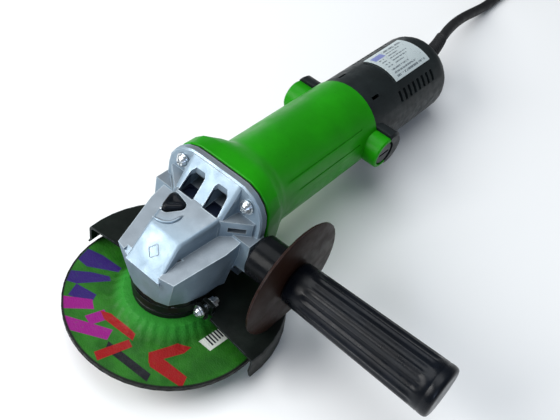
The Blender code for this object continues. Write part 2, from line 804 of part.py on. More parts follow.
def make_lock_pin():
    profile = [(0, 10.4), (1.5, 10.4), (1.5, -6.2), (1.1, -6.8), (0, -6.8)]
    return turned("lock_pin", profile, UP, (LOCK_X, LOCK_Y, 0), 16)


def make_spring(name, mid_r, wire_r, turns, length, place):
    """A coil spring along local Z."""
    curve = bpy.data.curves.new(name, "CURVE")
    curve.dimensions = "3D"
    curve.bevel_depth = wire_r * MM
    curve.bevel_resolution = 0
    curve.use_fill_caps = True
    spline = curve.splines.new("POLY")
    count = turns * 8
    spline.points.add(count)
    for i in range(count + 1):
        angle = 2 * pi * i / 8
        along = wire_r + (length - 2 * wire_r) * i / count
        point = Vector((mid_r * cos(angle), mid_r * sin(angle), along))
        spline.points[i].co = (*(place @ point * MM), 1)
    bent = bpy.data.objects.new(name + "_path", curve)
    GRINDER.objects.link(bent)
    graph = bpy.context.evaluated_depsgraph_get()
    mesh = bpy.data.meshes.new_from_object(bent.evaluated_get(graph))
    bpy.data.objects.remove(bent, do_unlink=True)
    form = bmesh.new()
    form.from_mesh(mesh)
    bmesh.ops.remove_doubles(form, verts=form.verts, dist=0.000005)
    bmesh.ops.recalc_face_normals(form, faces=form.faces)
    form.to_mesh(mesh)
    form.free()
    made = bpy.data.objects.new(name, mesh)
    GRINDER.objects.link(made)
    return made


def handle_eye_room(name, side):
    """The notch that clears one of the gear case's handle bosses."""
    facing = RIGHT if side > 0 else "-X"
    return rod(name, HANDLE_EYE_R + 0.35, 20.4, 44, facing, (0, HANDLE_Y, HANDLE_Z))


def make_baffle_gasket():
    """The plate between gear case and motor housing, open for the shaft and for the cooling air."""
    plate = loft("case_gasket", [section(31.5, 34.6, 32.6, 19.2), section(32.9, 34.6, 32.6, 19.2)])
    cut(plate, rod("gasket_bore", 12.6, 25, 40, AFT))
    for side in (-1, 1):
        low_x, high_x = sorted((side * 3.2, side * 14.8))
        cut(plate, block(f"gasket_air_{side}", (low_x, 25, 14.6), (high_x, 40, 27.4)))
        cut(plate, handle_eye_room(f"gasket_notch_{side}", side))
        for up in (-1, 1):
            spot = (side * CASE_SCREW_X, 0, up * CASE_SCREW_Z)
            cut(plate, rod(f"gasket_hole_{side}_{up}", 2.4, 25, 40, AFT, spot, 10))
    return plate


def make_motor_housing():
    """Green housing: square collar at the gear end, round grip, and two brush bosses at the rear."""
    housing = loft(
        "motor_housing",
        [
            section(BODY_FRONT, 34.9, 32.9, 19.6),
            section(BODY_FRONT + 0.6, 35.4, 33.4, 20.0),
            section(43.0, 35.4, 33.4, 20.6),
            section(49.0, 33.0, 31.8, 23.5),
            section(55.0, 30.0, 29.6, 27.0),
            section(61.0, BODY_R, BODY_R, BODY_R),
            section(BODY_REAR + 3.3, BODY_R, BODY_R, BODY_R),
        ],
    )
    for side, facing in ((-1, "-X"), (1, "X")):
        ear = turned(
            f"ear_{side}",
            [(0, EAR_X), (EAR_R - 0.9, EAR_X), (EAR_R, EAR_X - 0.9), (EAR_R, 26.8), (0, 26.8)],
            facing, (0, BRUSH_Y, 0), 28,
        )
        join(housing, ear)
    bore = turned(
        "housing_bore",
        [(0, 170), (BODY_BORE_R, 170), (BODY_BORE_R, 52), (26.4, 51), (26.4, 20), (0, 20)], AFT, steps=40,
    )
    trim = block("rear_trim", (-60, BODY_REAR, -60), (60, BODY_REAR + 40, 60))
    cut(housing, bore, trim)
    for side, facing in ((-1, "-X"), (1, "X")):
        cut(housing, handle_eye_room(f"housing_notch_{side}", side))
        cut(housing, rod(f"cap_hole_{side}", 8.6, 33.6, 44, facing, (0, BRUSH_Y, 0), 32))
        low_x, high_x = sorted((side * 20, side * 36))
        low, high = (low_x, BRUSH_Y - 4.9, -6.4), (high_x, BRUSH_Y + 4.9, 6.4)
        cut(housing, block(f"holder_way_{side}", low, high))
        for up in (-1, 1):
            spot = (side * CASE_SCREW_X, 0, up * CASE_SCREW_Z)
            cut(housing, rod(f"housing_hole_{side}_{up}", 2.4, 20, 46, AFT, spot, 10))
        for name, angle, start, stop in (("upper", 34.2, 66, 139), ("lower", 16.4, 73, 135)):
            groove = block(f"groove_{name}_{side}", (BODY_R - 0.55, start, -0.4), (BODY_R + 2, stop, 0.4))
            turn = -angle if side > 0 else -(180 - angle)
            groove.data.transform(Matrix.Rotation(radians(turn), 4, "Y"))
            cut(housing, groove)
    slot = block("switch_slot", (20, KNOB_Y - 10.5, -2.3), (40, KNOB_Y + 3.5, 2.3))
    slot.data.transform(Matrix.Rotation(-KNOB_ANGLE, 4, "Y"))
    cut(housing, slot)
    return housing


def make_stator():
    stator = rod("stator_core", STATOR_R, STATOR_FRONT, STATOR_REAR, AFT, steps=32)
    cut(stator, rod("stator_bore", STATOR_BORE_R, 40, 140, AFT))
    for side in (-1, 1):
        low_x, high_x = sorted((side * STATOR_HALF_X, side * 40))
        cut(stator, block(f"stator_flat_{side}", (low_x, 40, -40), (high_x, 140, 40)))
    for start in (36, 122, 216, 302):
        cut(stator, sector(f"coil_slot_{start}", 14.8, 20.4, start, start + 22, 40, 140, 6))
    return stator


def make_field_coil(name, middle):
    """A wound coil laid round one pole of the stator."""
    coil = sector(name, 15.9, 20.0, middle - 52, middle + 52, STATOR_FRONT - 6, STATOR_REAR + 6, 16)
    low, high = STATOR_FRONT - 0.5, STATOR_REAR + 0.5
    cut(coil, sector(f"{name}_window", 14, 22, middle - 35, middle + 35, low, high, 12))
    return coil


def make_armature_shaft():
    return turned(
        "armature_shaft",
        [
            (0, 171.5), (2.9, 171.5), (3.2, 171.1), (3.2, 160.6), (4.4, 160.4), (4.4, 31.0), (3.7, 30.8),
            (3.7, 20.9), (2.9, 20.8), (2.9, 9.2), (2.5, 8.8), (0, 8.8),
        ],
        AFT, steps=24,
    )


def make_rotor():
    """Laminated core with its winding slots."""
    core = ring("rotor_core", 4.7, ROTOR_R, STATOR_FRONT - 2, STATOR_REAR + 2, AFT, steps=36)
    for i in range(12):
        slot = block(f"rotor_slot_{i}", (12.0, 50, -0.9), (18, 130, 0.9))
        slot.data.transform(Matrix.Rotation(2 * pi * (i + 0.5) / 12, 4, "Y"))
        cut(core, slot)
    return core


def make_commutator():
    return turned(
        "commutator",
        [(4.7, 160.0), (9.0, 160.0), (9.0, 159.0), (COMMUTATOR_R, 158.4), (COMMUTATOR_R, 141.6),
         (COMMUTATOR_R + 1.4, 141.4), (COMMUTATOR_R + 1.4, 139.6), (9.6, 138.0), (9.6, 113.0),
         (4.7, 113.0)],
        AFT, steps=24,
    )


def make_fan():
    """Backing disc with straight radial blades on its motor side."""
    fan = turned(
        "fan",
        [(4.7, 48.0), (8.0, 48.0), (8.6, 40.6), (24.2, 39.6), (24.2, 37.8), (4.7, 37.8)],
        AFT,
        steps=36,
    )
    for i in range(12):
        blade = block(f"blade_{i}", (7.6, 39.0, -0.7), (23.6, 46.6, 0.7))
        blade.data.transform(Matrix.Rotation(2 * pi * i / 12, 4, "Y"))
        join(fan, blade)
    return fan


def make_pinion_nut():
    return hex_nut("pinion_nut", 3.2, 8.0, 9.5, 12.9, turn_to(AFT))


def make_brush_holder(name, side):
    low_x, high_x = sorted((side * 13.4, side * 33.2))
    holder = block(name, (low_x, BRUSH_Y - 4.4, -5.8), (high_x, BRUSH_Y + 4.4, 5.8))
    low_x, high_x = sorted((side * 10, side * 36))
    cut(holder, block(f"{name}_way", (low_x, BRUSH_Y - 3.3, -4.7), (high_x, BRUSH_Y + 3.3, 4.7)))
    return holder


def make_brush(name, side):
    """Carbon block with its end hollowed to the commutator."""
    low_x, high_x = sorted((side * 9.0, side * 22.4))
    brush = block(name, (low_x, BRUSH_Y - 3.0, -4.4), (high_x, BRUSH_Y + 3.0, 4.4))
    cut(brush, rod(f"{name}_face", COMMUTATOR_R + 0.3, BRUSH_Y - 9, BRUSH_Y + 9, AFT, steps=36))
    return brush


def make_brush_cap(name, side):
    facing = "X" if side > 0 else "-X"
    cap = turned(
        name, [(0, 38.0), (7.4, 38.0), (8.2, 37.2), (8.2, 33.9), (0, 33.9)], facing, (0, BRUSH_Y, 0), 32
    )
    low_x, high_x = sorted((side * 36.6, side * 42))
    cut(cap, block(f"{name}_slot", (low_x, BRUSH_Y - 5.2, -0.8), (high_x, BRUSH_Y + 5.2, 0.8)))
    return cap


def make_tail_cover():
    """Dark rear cover with air vents, the rear bearing's seat and the cord's exit."""
    arc = [radians(90 - 15 * i) for i in range(7)]
    outer = [(0, TAIL_END)]
    corner_r, corner_y = TAIL_R - TAIL_ROUND, TAIL_END - TAIL_ROUND
    outer += [(corner_r + TAIL_ROUND * cos(a), corner_y + TAIL_ROUND * sin(a)) for a in arc]
    outer += [(TAIL_R, TAIL_FRONT - 3), (0, TAIL_FRONT - 3)]
    cover = turned("tail_cover", outer, AFT, steps=36)
    for side, facing in ((-1, "-X"), (1, "X")):
        bump = turned(
            f"bump_{side}", [(0, EAR_X), (10.6, EAR_X), (12.2, EAR_X - 1.6), (12.2, 22), (0, 22)],
            facing, (0, BRUSH_Y + 6.5, 0), 32,
        )
        join(cover, bump)
    cut(cover, block("front_trim", (-60, TAIL_FRONT - 60, -60), (60, TAIL_FRONT, 60)))
    inner = [(0, 246.5), (TAIL_BORE_R - 9.0, 246.5), (TAIL_BORE_R, 237.0), (TAIL_BORE_R, 120), (0, 120)]
    cut(cover, turned("tail_bore", inner, AFT, steps=30))
    for side, facing in ((-1, "-X"), (1, "X")):
        cut(cover, rod(f"bump_hole_{side}", 8.9, 33.4, 44, facing, (0, BRUSH_Y, 0), 32))
        low_x, high_x = sorted((side * 20, side * 36))
        cut(cover, block(f"bump_way_{side}", (low_x, BRUSH_Y - 4.9, -6.4), (high_x, BRUSH_Y + 4.9, 6.4)))
    seat = ring("rear_seat", 9.75, 12.6, 162.4, 169.8, AFT)
    for up in (-1, 1):
        low_z, high_z = sorted((up * 11.6, up * 26.4))
        join(seat, block(f"seat_web_{up}", (-3, 162.6, low_z), (3, 169.6, high_z)))
    join(cover, settled_now(seat))
    for i in range(VENT_COUNT):
        y = VENT_FIRST_Y + VENT_PITCH * i
        for start in (31.0, 132.0):
            low, high = y - VENT_WIDTH / 2, y + VENT_WIDTH / 2
            cut(cover, sector(f"vent_{i}_{start:.0f}", 22, 30, start, start + 17, low, high, 3))
    for side in (-1, 1):
        hook = block(f"hook_slot_{side}", (24.4, 160.5, -1.1), (30, 168, 1.1))
        hook.data.transform(Matrix.Rotation(radians(-(90 - side * 30)), 4, "Y"))
        cut(cover, hook)
        middle = 90 - side * 19
        cut(cover, sector(f"arc_slot_{side}", 26.9, 29, middle - 8, middle + 8, 185.9, 187.3, 4))
    cut(cover, rod("cord_way", 6.7, 235, 260, AFT, (0, 0, CORD_EXIT_Z), 24))
    return cover


def settled_now(made):
    """Bakes the joins of a helper shape before it is itself used as one."""
    tools = [step.object for step in made.modifiers]
    settled(made)
    for tool in tools:
        bpy.data.objects.remove(tool, do_unlink=True)
    return made


def make_switch_body():
    body = block("switch_body", (-17.0, 197, -15.5), (-2.5, 222, 0.5))
    eased(body, 1.0)
    return body


def make_switch_bar():
    """Flat link from the knob back past the motor, with a foot behind the switch."""
    low = (SWITCH_BAR_X - 0.7, KNOB_Y - 5, SWITCH_BAR_Z - 2)
    high = (SWITCH_BAR_X + 0.7, SWITCH_BAR_END, SWITCH_BAR_Z + 2)
    bar = block("switch_bar", low, high)
    foot_low = (low[0] + 0.1, SWITCH_BAR_END - 3.6, low[2] + 0.1)
    foot = block("bar_foot", foot_low, (-8.0, SWITCH_BAR_END - 0.1, high[2] - 0.1))
    join(bar, foot)
    return bar


def make_switch_knob():
    """Slide button with ridges, on the side away from the handle, and its stem down to the bar."""
    knob = block("switch_knob", (28.8, KNOB_Y - 8, -5.2), (31.2, KNOB_Y + 8, 5.2))
    stem = block("knob_stem", (25.1, KNOB_Y - 3.0, -1.7), (29.4, KNOB_Y + 3.0, 1.7))
    join(knob, stem)
    for i in range(5):
        y = KNOB_Y - 5 + 2.5 * i
        cut(knob, block(f"knob_groove_{i}", (30.5, y - 0.5, -7), (33, y + 0.5, 7)))
    for item in [knob] + [step.object for step in knob.modifiers]:
        item.data.transform(Matrix.Rotation(-KNOB_ANGLE, 4, "Y"))
    return knob


def make_nameplate():
    return sector("nameplate", 27.8, 28.2, 90 - 29.5, 90 + 29.5, 189.0, 231.0, 16)


def make_hand_guard():
    """Round hand guard with a flat cut below, and its sleeve up to the gear case."""
    plate = turned(
        "hand_guard",
        [
            (HANDLE_THREAD_R + 0.4, 63.2), (17.0, 63.2), (HAND_GUARD_R - 1.2, 62.6), (HAND_GUARD_R, 61.9),
            (HAND_GUARD_R, 60.9), (HAND_GUARD_R - 0.8, HAND_GUARD_X), (SLEEVE_R + 1.0, HAND_GUARD_X - 0.4),
            (SLEEVE_R, 58.6), (SLEEVE_R, 38.4), (SLEEVE_R - 0.9, 37.3), (HANDLE_THREAD_R + 0.4, 37.3),
        ],
        RIGHT, (0, HANDLE_Y, HANDLE_Z), 40,
    )
    cut(plate, block("hand_guard_flat", (50, -40, -80), (80, 100, HAND_GUARD_FLAT_Z)))
    return plate


def grip_ring(x, radius, depth):
    """One cross-section of the grip, with rounded flutes of the given depth."""
    points = []
    per = 4
    count = GRIP_FLUTES * per
    for i in range(count):
        part = (i % per) / per
        dip = depth * sin(pi * part)
        r = radius - dip
        angle = 2 * pi * i / count
        points.append((x, HANDLE_Y + r * cos(angle), HANDLE_Z + r * sin(angle)))
    return points


def make_grip():
    def skin(x):
        return 12.9 + (x - 63.7) * 0.0272

    stations = [
        (GRIP_START, skin(64) - 1.2, 0.0), (GRIP_START + 1.2, skin(65), 0.0), (74.0, skin(74), 0.0),
        (78.5, skin(78.5), 1.1), (149.0, skin(149), 1.2), (152.5, skin(152.5), 0.0),
        (GRIP_END - 1.8, skin(160), 0.0), (GRIP_END, skin(160) - 1.8, 0.0),
    ]
    grip = loft("handle_grip", [grip_ring(*station) for station in stations])
    cut(grip, rod("grip_bore", HANDLE_THREAD_R + 0.3, 40, 96, RIGHT, (0, HANDLE_Y, HANDLE_Z), 24))
    return grip


def make_stud():
    return turned(
        "handle_stud",
        [
            (0, 95.5), (HANDLE_THREAD_R, 95.5), (HANDLE_THREAD_R, 25.2),
            (HANDLE_THREAD_R - 0.9, 24.2), (0, 24.2),
        ],
        RIGHT, (0, HANDLE_Y, HANDLE_Z), 24,
    )


def swept(name, points, radius, sides):
    """A round tube along world points in metres, with flat ends."""
    curve = bpy.data.curves.new(name, "CURVE")
    curve.dimensions = "3D"
    curve.bevel_depth = radius * MM
    curve.bevel_resolution = sides
    curve.use_fill_caps = True
    spline = curve.splines.new("POLY")
    spline.points.add(len(points) - 1)
    for i, point in enumerate(points):
        spline.points[i].co = (*point, 1)
    made = bpy.data.objects.new(name, curve)
    GRINDER.objects.link(made)
    return made


def bezier(controls, pieces):
    """Points along a smooth curve through cubic pieces, each given by four world points."""
    points = []
    for a, b, c, d in controls:
        for i in range(pieces):
            t = i / pieces
            points.append(a * (1 - t) ** 3 + b * 3 * t * (1 - t) ** 2 + c * 3 * t * t * (1 - t) + d * t**3)
    points.append(controls[-1][3])
    return points


def on_floor(x, y, height=CORD_R):
    """A tool-frame plan position, carried to the world and set down on the ground."""
    point = PLACEMENT @ (Vector((x, y, 0)) * MM)
    return Vector((point.x, point.y, height * MM))


def cord_start():
    """Where the cord leaves its armour, and in which direction."""
    tip = Vector((ARMOUR_DRIFT, TAIL_END + ARMOUR_LENGTH + 1.0, CORD_EXIT_Z + ARMOUR_RISE))
    start = PLACEMENT @ (tip * MM)
    return start, (PLACEMENT.to_3x3() @ Vector((-0.225, 0.98, 0.141))).normalized()


def cord_route():
    """From the armour down to the ground, then straight up to the coil's side."""
    start, towards = cord_start()
    landing = on_floor(-10.8, 381.6)
    settling = Vector((0.029, 1.0, 0.0)).normalized()
    coil = on_floor(COIL_CENTRE_X, COIL_CENTRE_Y)
    end = Vector((coil.x + COIL_STRAND_R * MM, coil.y - 29.2 * MM, CORD_R * MM))
    points = bezier([(start, start + towards * 0.0374, landing - settling * 0.0244, landing)], 20)
    return points + [landing.lerp(end, 0.5), end]


def cord_tail_route():
    """From the coil's top turn down to the plug."""
    coil = on_floor(COIL_CENTRE_X, COIL_CENTRE_Y)
    leaving = coil + Vector((COIL_STRAND_R, 0, COIL_HEIGHT - 2 * CORD_R)) * MM
    plug = plug_place() - Vector((0, 0.3, 0)) * MM
    points = bezier([(leaving, leaving + Vector((0, 0.03, 0)), plug - Vector((0, 0.025, 0)), plug)], 24)
    return [point for point in points if point.y > coil.y + 29.2 * MM]


def plug_place():
    """The middle of the plug's rear end."""
    coil = on_floor(COIL_CENTRE_X, COIL_CENTRE_Y, 0)
    return coil + Vector((COIL_STRAND_R + 4, 78, PLUG_R + 0.2)) * MM


def make_armour():
    """Tapered rubber sleeve that stops the cord bending sharply at the tail."""
    base = Vector((0, TAIL_END - 6, CORD_EXIT_Z))
    centre = [(base, 6.4), (Vector((0, TAIL_END + 0.2, CORD_EXIT_Z)), 6.4)]
    taper = ((0.5, 8.0), (3.5, 7.6), (4.2, 6.2), (12, 5.8), (23, 5.3), (ARMOUR_LENGTH, ARMOUR_TIP_R))
    for along, r in taper:
        bend = (along / ARMOUR_LENGTH) ** 2
        place = Vector((ARMOUR_DRIFT * bend, TAIL_END + along, CORD_EXIT_Z + ARMOUR_RISE * bend))
        centre.append((place, r))
    rings = []
    for place, r in centre:
        angles = [2 * pi * i / 20 for i in range(20)]
        rings.append([tuple(place + Vector((r * cos(a), 0, r * sin(a)))) for a in angles])
    return loft("cord_armour", rings)


def make_coil():
    """The rest of the cord, wound into a neat ring eight strands thick."""
    coil = on_floor(COIL_CENTRE_X, COIL_CENTRE_Y, 0)
    ease = 2.6
    outline = [
        (COIL_INNER_R, COIL_HEIGHT - ease), (COIL_INNER_R + ease, COIL_HEIGHT),
        (COIL_OUTER_R - ease, COIL_HEIGHT), (COIL_OUTER_R, COIL_HEIGHT - ease),
        (COIL_OUTER_R, ease), (COIL_OUTER_R - ease, 0),
        (COIL_INNER_R + ease, 0), (COIL_INNER_R, ease),
    ]
    made = turned("cord_coil", outline, UP, (0, 0, 0), 32)
    made.data.transform(Matrix.Translation(coil))
    return made


def make_plug():
    """Two-pin plug lying beside the coil."""
    body = turned(
        "plug_body",
        [(0, 46), (9.6, 46), (PLUG_R, 45), (PLUG_R, 30), (8.6, 22), (5.6, 12), (5.2, 0), (0, 0)],
        AFT,
        steps=18,
    )
    body.data.transform(Matrix.Translation(plug_place()))
    pins = []
    for side, name in ((-1, "plug_pin_left"), (1, "plug_pin_right")):
        profile = [(0, 65), (1.7, 65), (2.3, 64.2), (2.3, 46.3), (0, 46.3)]
        pin = turned(name, profile, AFT, (side * 6.0, 0, 0), 12)
        pin.data.transform(Matrix.Translation(plug_place()))
        pins.append(pin)
    return [body] + pins


def belong_to_world(made, material):
    made.data.materials.clear()
    made.data.materials.append(material)
    if made.type == "MESH":
        for face in made.data.polygons:
            face.use_smooth = True
        made.data.set_sharp_from_angle(angle=radians(40))


def make_materials():
    return {
        "cast": finish_material("cast_aluminium", (0.62, 0.72, 0.80), 0.38, 0.85),
        "green": finish_material("green_plastic", (0.020, 0.235, 0.006), 0.42),
        "dark": finish_material("dark_plastic", (0.018, 0.022, 0.022), 0.50),
        "black": finish_material("black_plastic", (0.008, 0.010, 0.009), 0.32),
        "paint": finish_material("black_paint", (0.012, 0.016, 0.013), 0.40),
        "rubber": finish_material("black_rubber", (0.010, 0.010, 0.010), 0.62),
        "zinc": finish_material("zinc_steel", (0.70, 0.72, 0.74), 0.25, 1.0),
        "steel": finish_material("ground_steel", (0.55, 0.56, 0.58), 0.30, 1.0),
        "iron": finish_material("lamination_steel", (0.22, 0.23, 0.25), 0.48, 0.9),
        "copper": finish_material("copper", (0.72, 0.30, 0.14), 0.32, 1.0),
        "brass": finish_material("brass", (0.78, 0.56, 0.22), 0.30, 1.0),
        "carbon": finish_material("carbon", (0.025, 0.025, 0.027), 0.55),
        "abrasive": finish_material("green_abrasive", (0.027, 0.130, 0.020), 0.85),
        "disc": finish_material("brown_black_plastic", (0.026, 0.010, 0.006), 0.45),
        "label": finish_material("silver_label", (0.46, 0.54, 0.58), 0.40, 0.3),
        "white": finish_material("white_nylon", (0.75, 0.74, 0.70), 0.45),
    }


def build_static(mats, root):
    belong(make_gear_case(), mats["cast"], root, 32)
    belong(make_bearing_cover(), mats["paint"], root)
    belong(make_bearing("spindle_bearing_upper", 2.7, 8.0, 1.2, 6.4, UP), mats["steel"], root)
    belong(make_bearing("spindle_bearing_lower", 7.65, 15.9, -38.1, -29.1, UP), mats["steel"], root)
    belong(make_bearing("motor_bearing_front", 4.0, 10.95, 21.3, 28.3, AFT), mats["steel"], root)
    belong(make_bearing("motor_bearing_rear", 3.5, 9.5, 163.0, 169.0, AFT), mats["steel"], root)
    corners = [(-1, -1), (1, -1), (-1, 1), (1, 1)]
    for number, (side, up) in enumerate(corners, 1):
        screw = make_case_screw(f"case_screw_{number}", side * CASE_SCREW_X, up * CASE_SCREW_Z)
        belong(screw, mats["zinc"], root)
        spot = COVER_SCREW_R * sqrt(0.5)
        belong(make_cover_screw(f"cover_screw_{number}", side * spot, up * spot), mats["zinc"], root)
    belong(make_baffle_gasket(), mats["rubber"], root)
    belong(make_motor_housing(), mats["green"], root, 32)
    belong(ring("air_baffle", 17.5, 26.0, 49.4, 51.0, AFT), mats["white"], root)
    belong(make_stator(), mats["iron"], root)
    belong(make_field_coil("field_coil_upper", 90), mats["copper"], root)
    belong(make_field_coil("field_coil_lower", 270), mats["copper"], root)
    belong(make_tail_cover(), mats["dark"], root, 32)
    belong(make_switch_body(), mats["black"], root)
    belong(make_nameplate(), mats["label"], root)
    belong(make_armour(), mats["rubber"], root)
    for name, side in (("left", -1), ("right", 1)):
        belong(make_brush_holder(f"brush_holder_{name}", side), mats["brass"], root)
        belong(make_brush_cap(f"brush_cap_{name}", side), mats["black"], root)


def build_moving(mats, root):
    spindle_axis = pivot("spindle_axis", (0, 0, 0))
    for piece, finish in (
        (make_spindle(), "steel"), (make_bevel_gear(), "steel"), (make_inner_flange(), "paint"),
        (make_disc(), "abrasive"), (make_lock_nut(), "zinc"),
    ):
        belong(piece, mats[finish], spindle_axis)
    armature_axis = pivot("armature_axis", (0, 0, 0))
    for piece, finish in (
        (make_armature_shaft(), "steel"), (make_rotor(), "iron"), (make_commutator(), "copper"),
        (make_fan(), "white"), (make_pinion(), "steel"), (make_pinion_nut(), "zinc"),
    ):
        belong(piece, mats[finish], armature_axis)
    guard_axis = pivot("guard_axis", (0, 0, GUARD_TOP))
    guard_pieces = ((make_guard(), "paint"), (make_guard_screw(), "zinc"), (make_guard_nut(), "zinc"))
    for piece, finish in guard_pieces:
        belong(piece, mats[finish], guard_axis)
    lock_axis = pivot("lock_axis", (LOCK_X, LOCK_Y, 0))
    belong(make_lock_button(), mats["black"], lock_axis)
    belong(make_lock_pin(), mats["steel"], lock_axis)
    lock_spring = make_spring("lock_spring", 2.0, 0.28, 5, 6.6, Matrix.Translation((LOCK_X, LOCK_Y, 3.9)))
    belong(lock_spring, mats["steel"], lock_axis, 60)
    for name, side in (("left", -1), ("right", 1)):
        slide = pivot(f"brush_axis_{name}", (0, BRUSH_Y, 0))
        belong(make_brush(f"carbon_brush_{name}", side), mats["carbon"], slide)
        place = Matrix.Translation((side * 22.8, BRUSH_Y, 0)) @ turn_to("X" if side > 0 else "-X")
        spring = make_spring(f"brush_spring_{name}", 2.4, 0.35, 4, 9.2, place)
        belong(spring, mats["steel"], slide, 60)
    switch_axis = pivot("switch_axis", (SWITCH_BAR_X, KNOB_Y, SWITCH_BAR_Z))
    belong(make_switch_knob(), mats["black"], switch_axis)
    belong(make_switch_bar(), mats["white"], switch_axis)
    handle_axis = pivot("handle_axis", (0, HANDLE_Y, HANDLE_Z))
    belong(make_hand_guard(), mats["disc"], handle_axis)
    belong(make_grip(), mats["black"], handle_axis, 50)
    belong(make_stud(), mats["zinc"], handle_axis)


def build_cord(mats):
    belong_to_world(swept("cord_tube", cord_route(), CORD_R, 2), mats["rubber"])
    belong_to_world(swept("cord_tail", cord_tail_route(), CORD_R, 2), mats["rubber"])
    belong_to_world(make_coil(), mats["rubber"])
    for piece, finish in zip(make_plug(), ("rubber", "brass", "brass")):
        belong_to_world(piece, mats[finish])


clear_scene()
GRINDER, FORMS = make_collections()
PLACEMENT = tool_placement()
MATERIALS = make_materials()
ROOT = pivot("tool_frame", (0, 0, 0))
build_static(MATERIALS, ROOT)
build_moving(MATERIALS, ROOT)
build_cord(MATERIALS)
bpy.context.view_layer.update()
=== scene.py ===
"""Visual model of an angle grinder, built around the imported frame."""

import json
from math import cos, pi, radians, sin

import bmesh
import bpy
from mathutils import Matrix, Vector


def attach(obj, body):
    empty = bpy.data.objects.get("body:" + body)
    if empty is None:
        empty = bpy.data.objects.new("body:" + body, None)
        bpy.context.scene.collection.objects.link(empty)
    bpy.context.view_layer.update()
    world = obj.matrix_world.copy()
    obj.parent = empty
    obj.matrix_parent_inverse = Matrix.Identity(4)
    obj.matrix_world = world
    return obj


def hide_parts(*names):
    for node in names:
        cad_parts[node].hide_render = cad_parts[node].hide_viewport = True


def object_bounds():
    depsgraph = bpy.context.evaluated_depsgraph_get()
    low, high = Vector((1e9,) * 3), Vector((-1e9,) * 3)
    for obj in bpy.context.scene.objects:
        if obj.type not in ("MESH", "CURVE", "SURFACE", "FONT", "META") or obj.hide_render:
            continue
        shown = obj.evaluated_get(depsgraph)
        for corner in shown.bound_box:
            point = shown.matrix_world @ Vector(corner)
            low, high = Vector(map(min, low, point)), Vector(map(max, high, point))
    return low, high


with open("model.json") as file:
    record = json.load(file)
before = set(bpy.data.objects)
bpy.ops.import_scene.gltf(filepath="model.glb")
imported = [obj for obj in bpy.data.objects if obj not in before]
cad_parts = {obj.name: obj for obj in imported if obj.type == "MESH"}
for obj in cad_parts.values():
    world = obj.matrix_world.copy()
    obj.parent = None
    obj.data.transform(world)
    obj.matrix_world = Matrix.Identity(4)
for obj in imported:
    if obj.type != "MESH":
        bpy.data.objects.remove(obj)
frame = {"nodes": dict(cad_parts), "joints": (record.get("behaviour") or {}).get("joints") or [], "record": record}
CAD_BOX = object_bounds()
NODES = frame["nodes"]
JOINTS = {joint["name"]: joint for joint in frame["joints"]}
MM = 0.001

# The tool frame has its origin on the spindle's axis.
# Y runs back along the motor, X along the side handle and Z up the spindle.
TOOL_AT = Vector(JOINTS["spindle_spin"]["pos_m"])
TOOL_AXES = [Vector(JOINTS[name]["axis"]) for name in ("handle_turn", "armature_spin", "spindle_spin")]
TOOL = Matrix.Translation(TOOL_AT) @ Matrix(TOOL_AXES).transposed().to_4x4()
TURN = TOOL.to_euler()
HANDLE = TOOL.inverted() @ Vector(JOINTS["handle_turn"]["pos_m"]) / MM


def tool(x, y, z):
    """A tool-frame point in millimetres, as a row-frame point in metres."""
    return TOOL @ (Vector((x, y, z)) * MM)


# ---------------------------------------------------------------- camera, floor and light
CAMERA_AT = (196.1, -239.2, 338.6)
CAMERA_AXES = ((0.75668, 0.63032, 0.17363), (-0.55026, 0.47057, 0.68976), (0.35306, -0.61747, 0.70291))
LENS = 53.25
SENSOR = 36


def make_camera():
    """The camera of the photograph, placed in the tool frame."""
    data = bpy.data.cameras.new("camera")
    data.lens = LENS
    data.sensor_width = SENSOR
    camera = bpy.data.objects.new("camera", data)
    axes = Matrix(CAMERA_AXES).transposed().to_4x4()
    camera.matrix_world = TOOL @ Matrix.Translation(Vector(CAMERA_AT) * MM) @ axes
    bpy.context.scene.collection.objects.link(camera)
    bpy.context.scene.camera = camera


def make_light(name, at, target, size, power, colour):
    """A rectangular area light aimed at a point."""
    data = bpy.data.lights.new(name, "AREA")
    data.shape = "RECTANGLE"
    data.size, data.size_y = size
    data.energy = power
    data.color = colour
    lamp = bpy.data.objects.new(name, data)
    lamp.location = at
    lamp.rotation_euler = (Vector(target) - Vector(at)).to_track_quat("-Z", "Y").to_euler()
    bpy.context.scene.collection.objects.link(lamp)


WORLD_COLOUR = (0.86, 0.93, 1.0, 1)
WORLD_STRENGTH = 0.22
FLOOR_HALF = 4
FLOOR_DROP = 0.0001


def make_studio():
    """A pale floor under three soft area lights and a faint sky."""
    bpy.context.scene.view_settings.view_transform = "Standard"
    world = bpy.data.worlds.new("studio")
    bpy.context.scene.world = world
    world.use_nodes = True
    back = world.node_tree.nodes["Background"]
    back.inputs["Color"].default_value = WORLD_COLOUR
    back.inputs["Strength"].default_value = WORLD_STRENGTH
    make_light("key", (-0.55, -0.75, 0.75), (0, -0.05, 0.03), (0.8, 0.6), 12.5, (1.0, 0.99, 0.97))
    make_light("overhead", (-0.25, 0.1, 1.3), (0, 0, 0), (0.9, 1.3), 10.5, (0.95, 0.98, 1.0))
    make_light("strip", (0.75, -0.75, 0.6), (0.05, -0.05, 0.05), (0.12, 0.5), 1.6, (0.62, 0.75, 1.0))
    form = bmesh.new()
    bmesh.ops.create_grid(form, x_segments=8, y_segments=8, size=FLOOR_HALF)
    for vert in form.verts:
        vert.co.z = CAD_BOX[0][2] - FLOOR_DROP
    mesh = bpy.data.meshes.new("floor")
    form.to_mesh(mesh)
    floor = bpy.data.objects.new("floor", mesh)
    bpy.context.scene.collection.objects.link(floor)
    floor.data.materials.append(plain_floor())


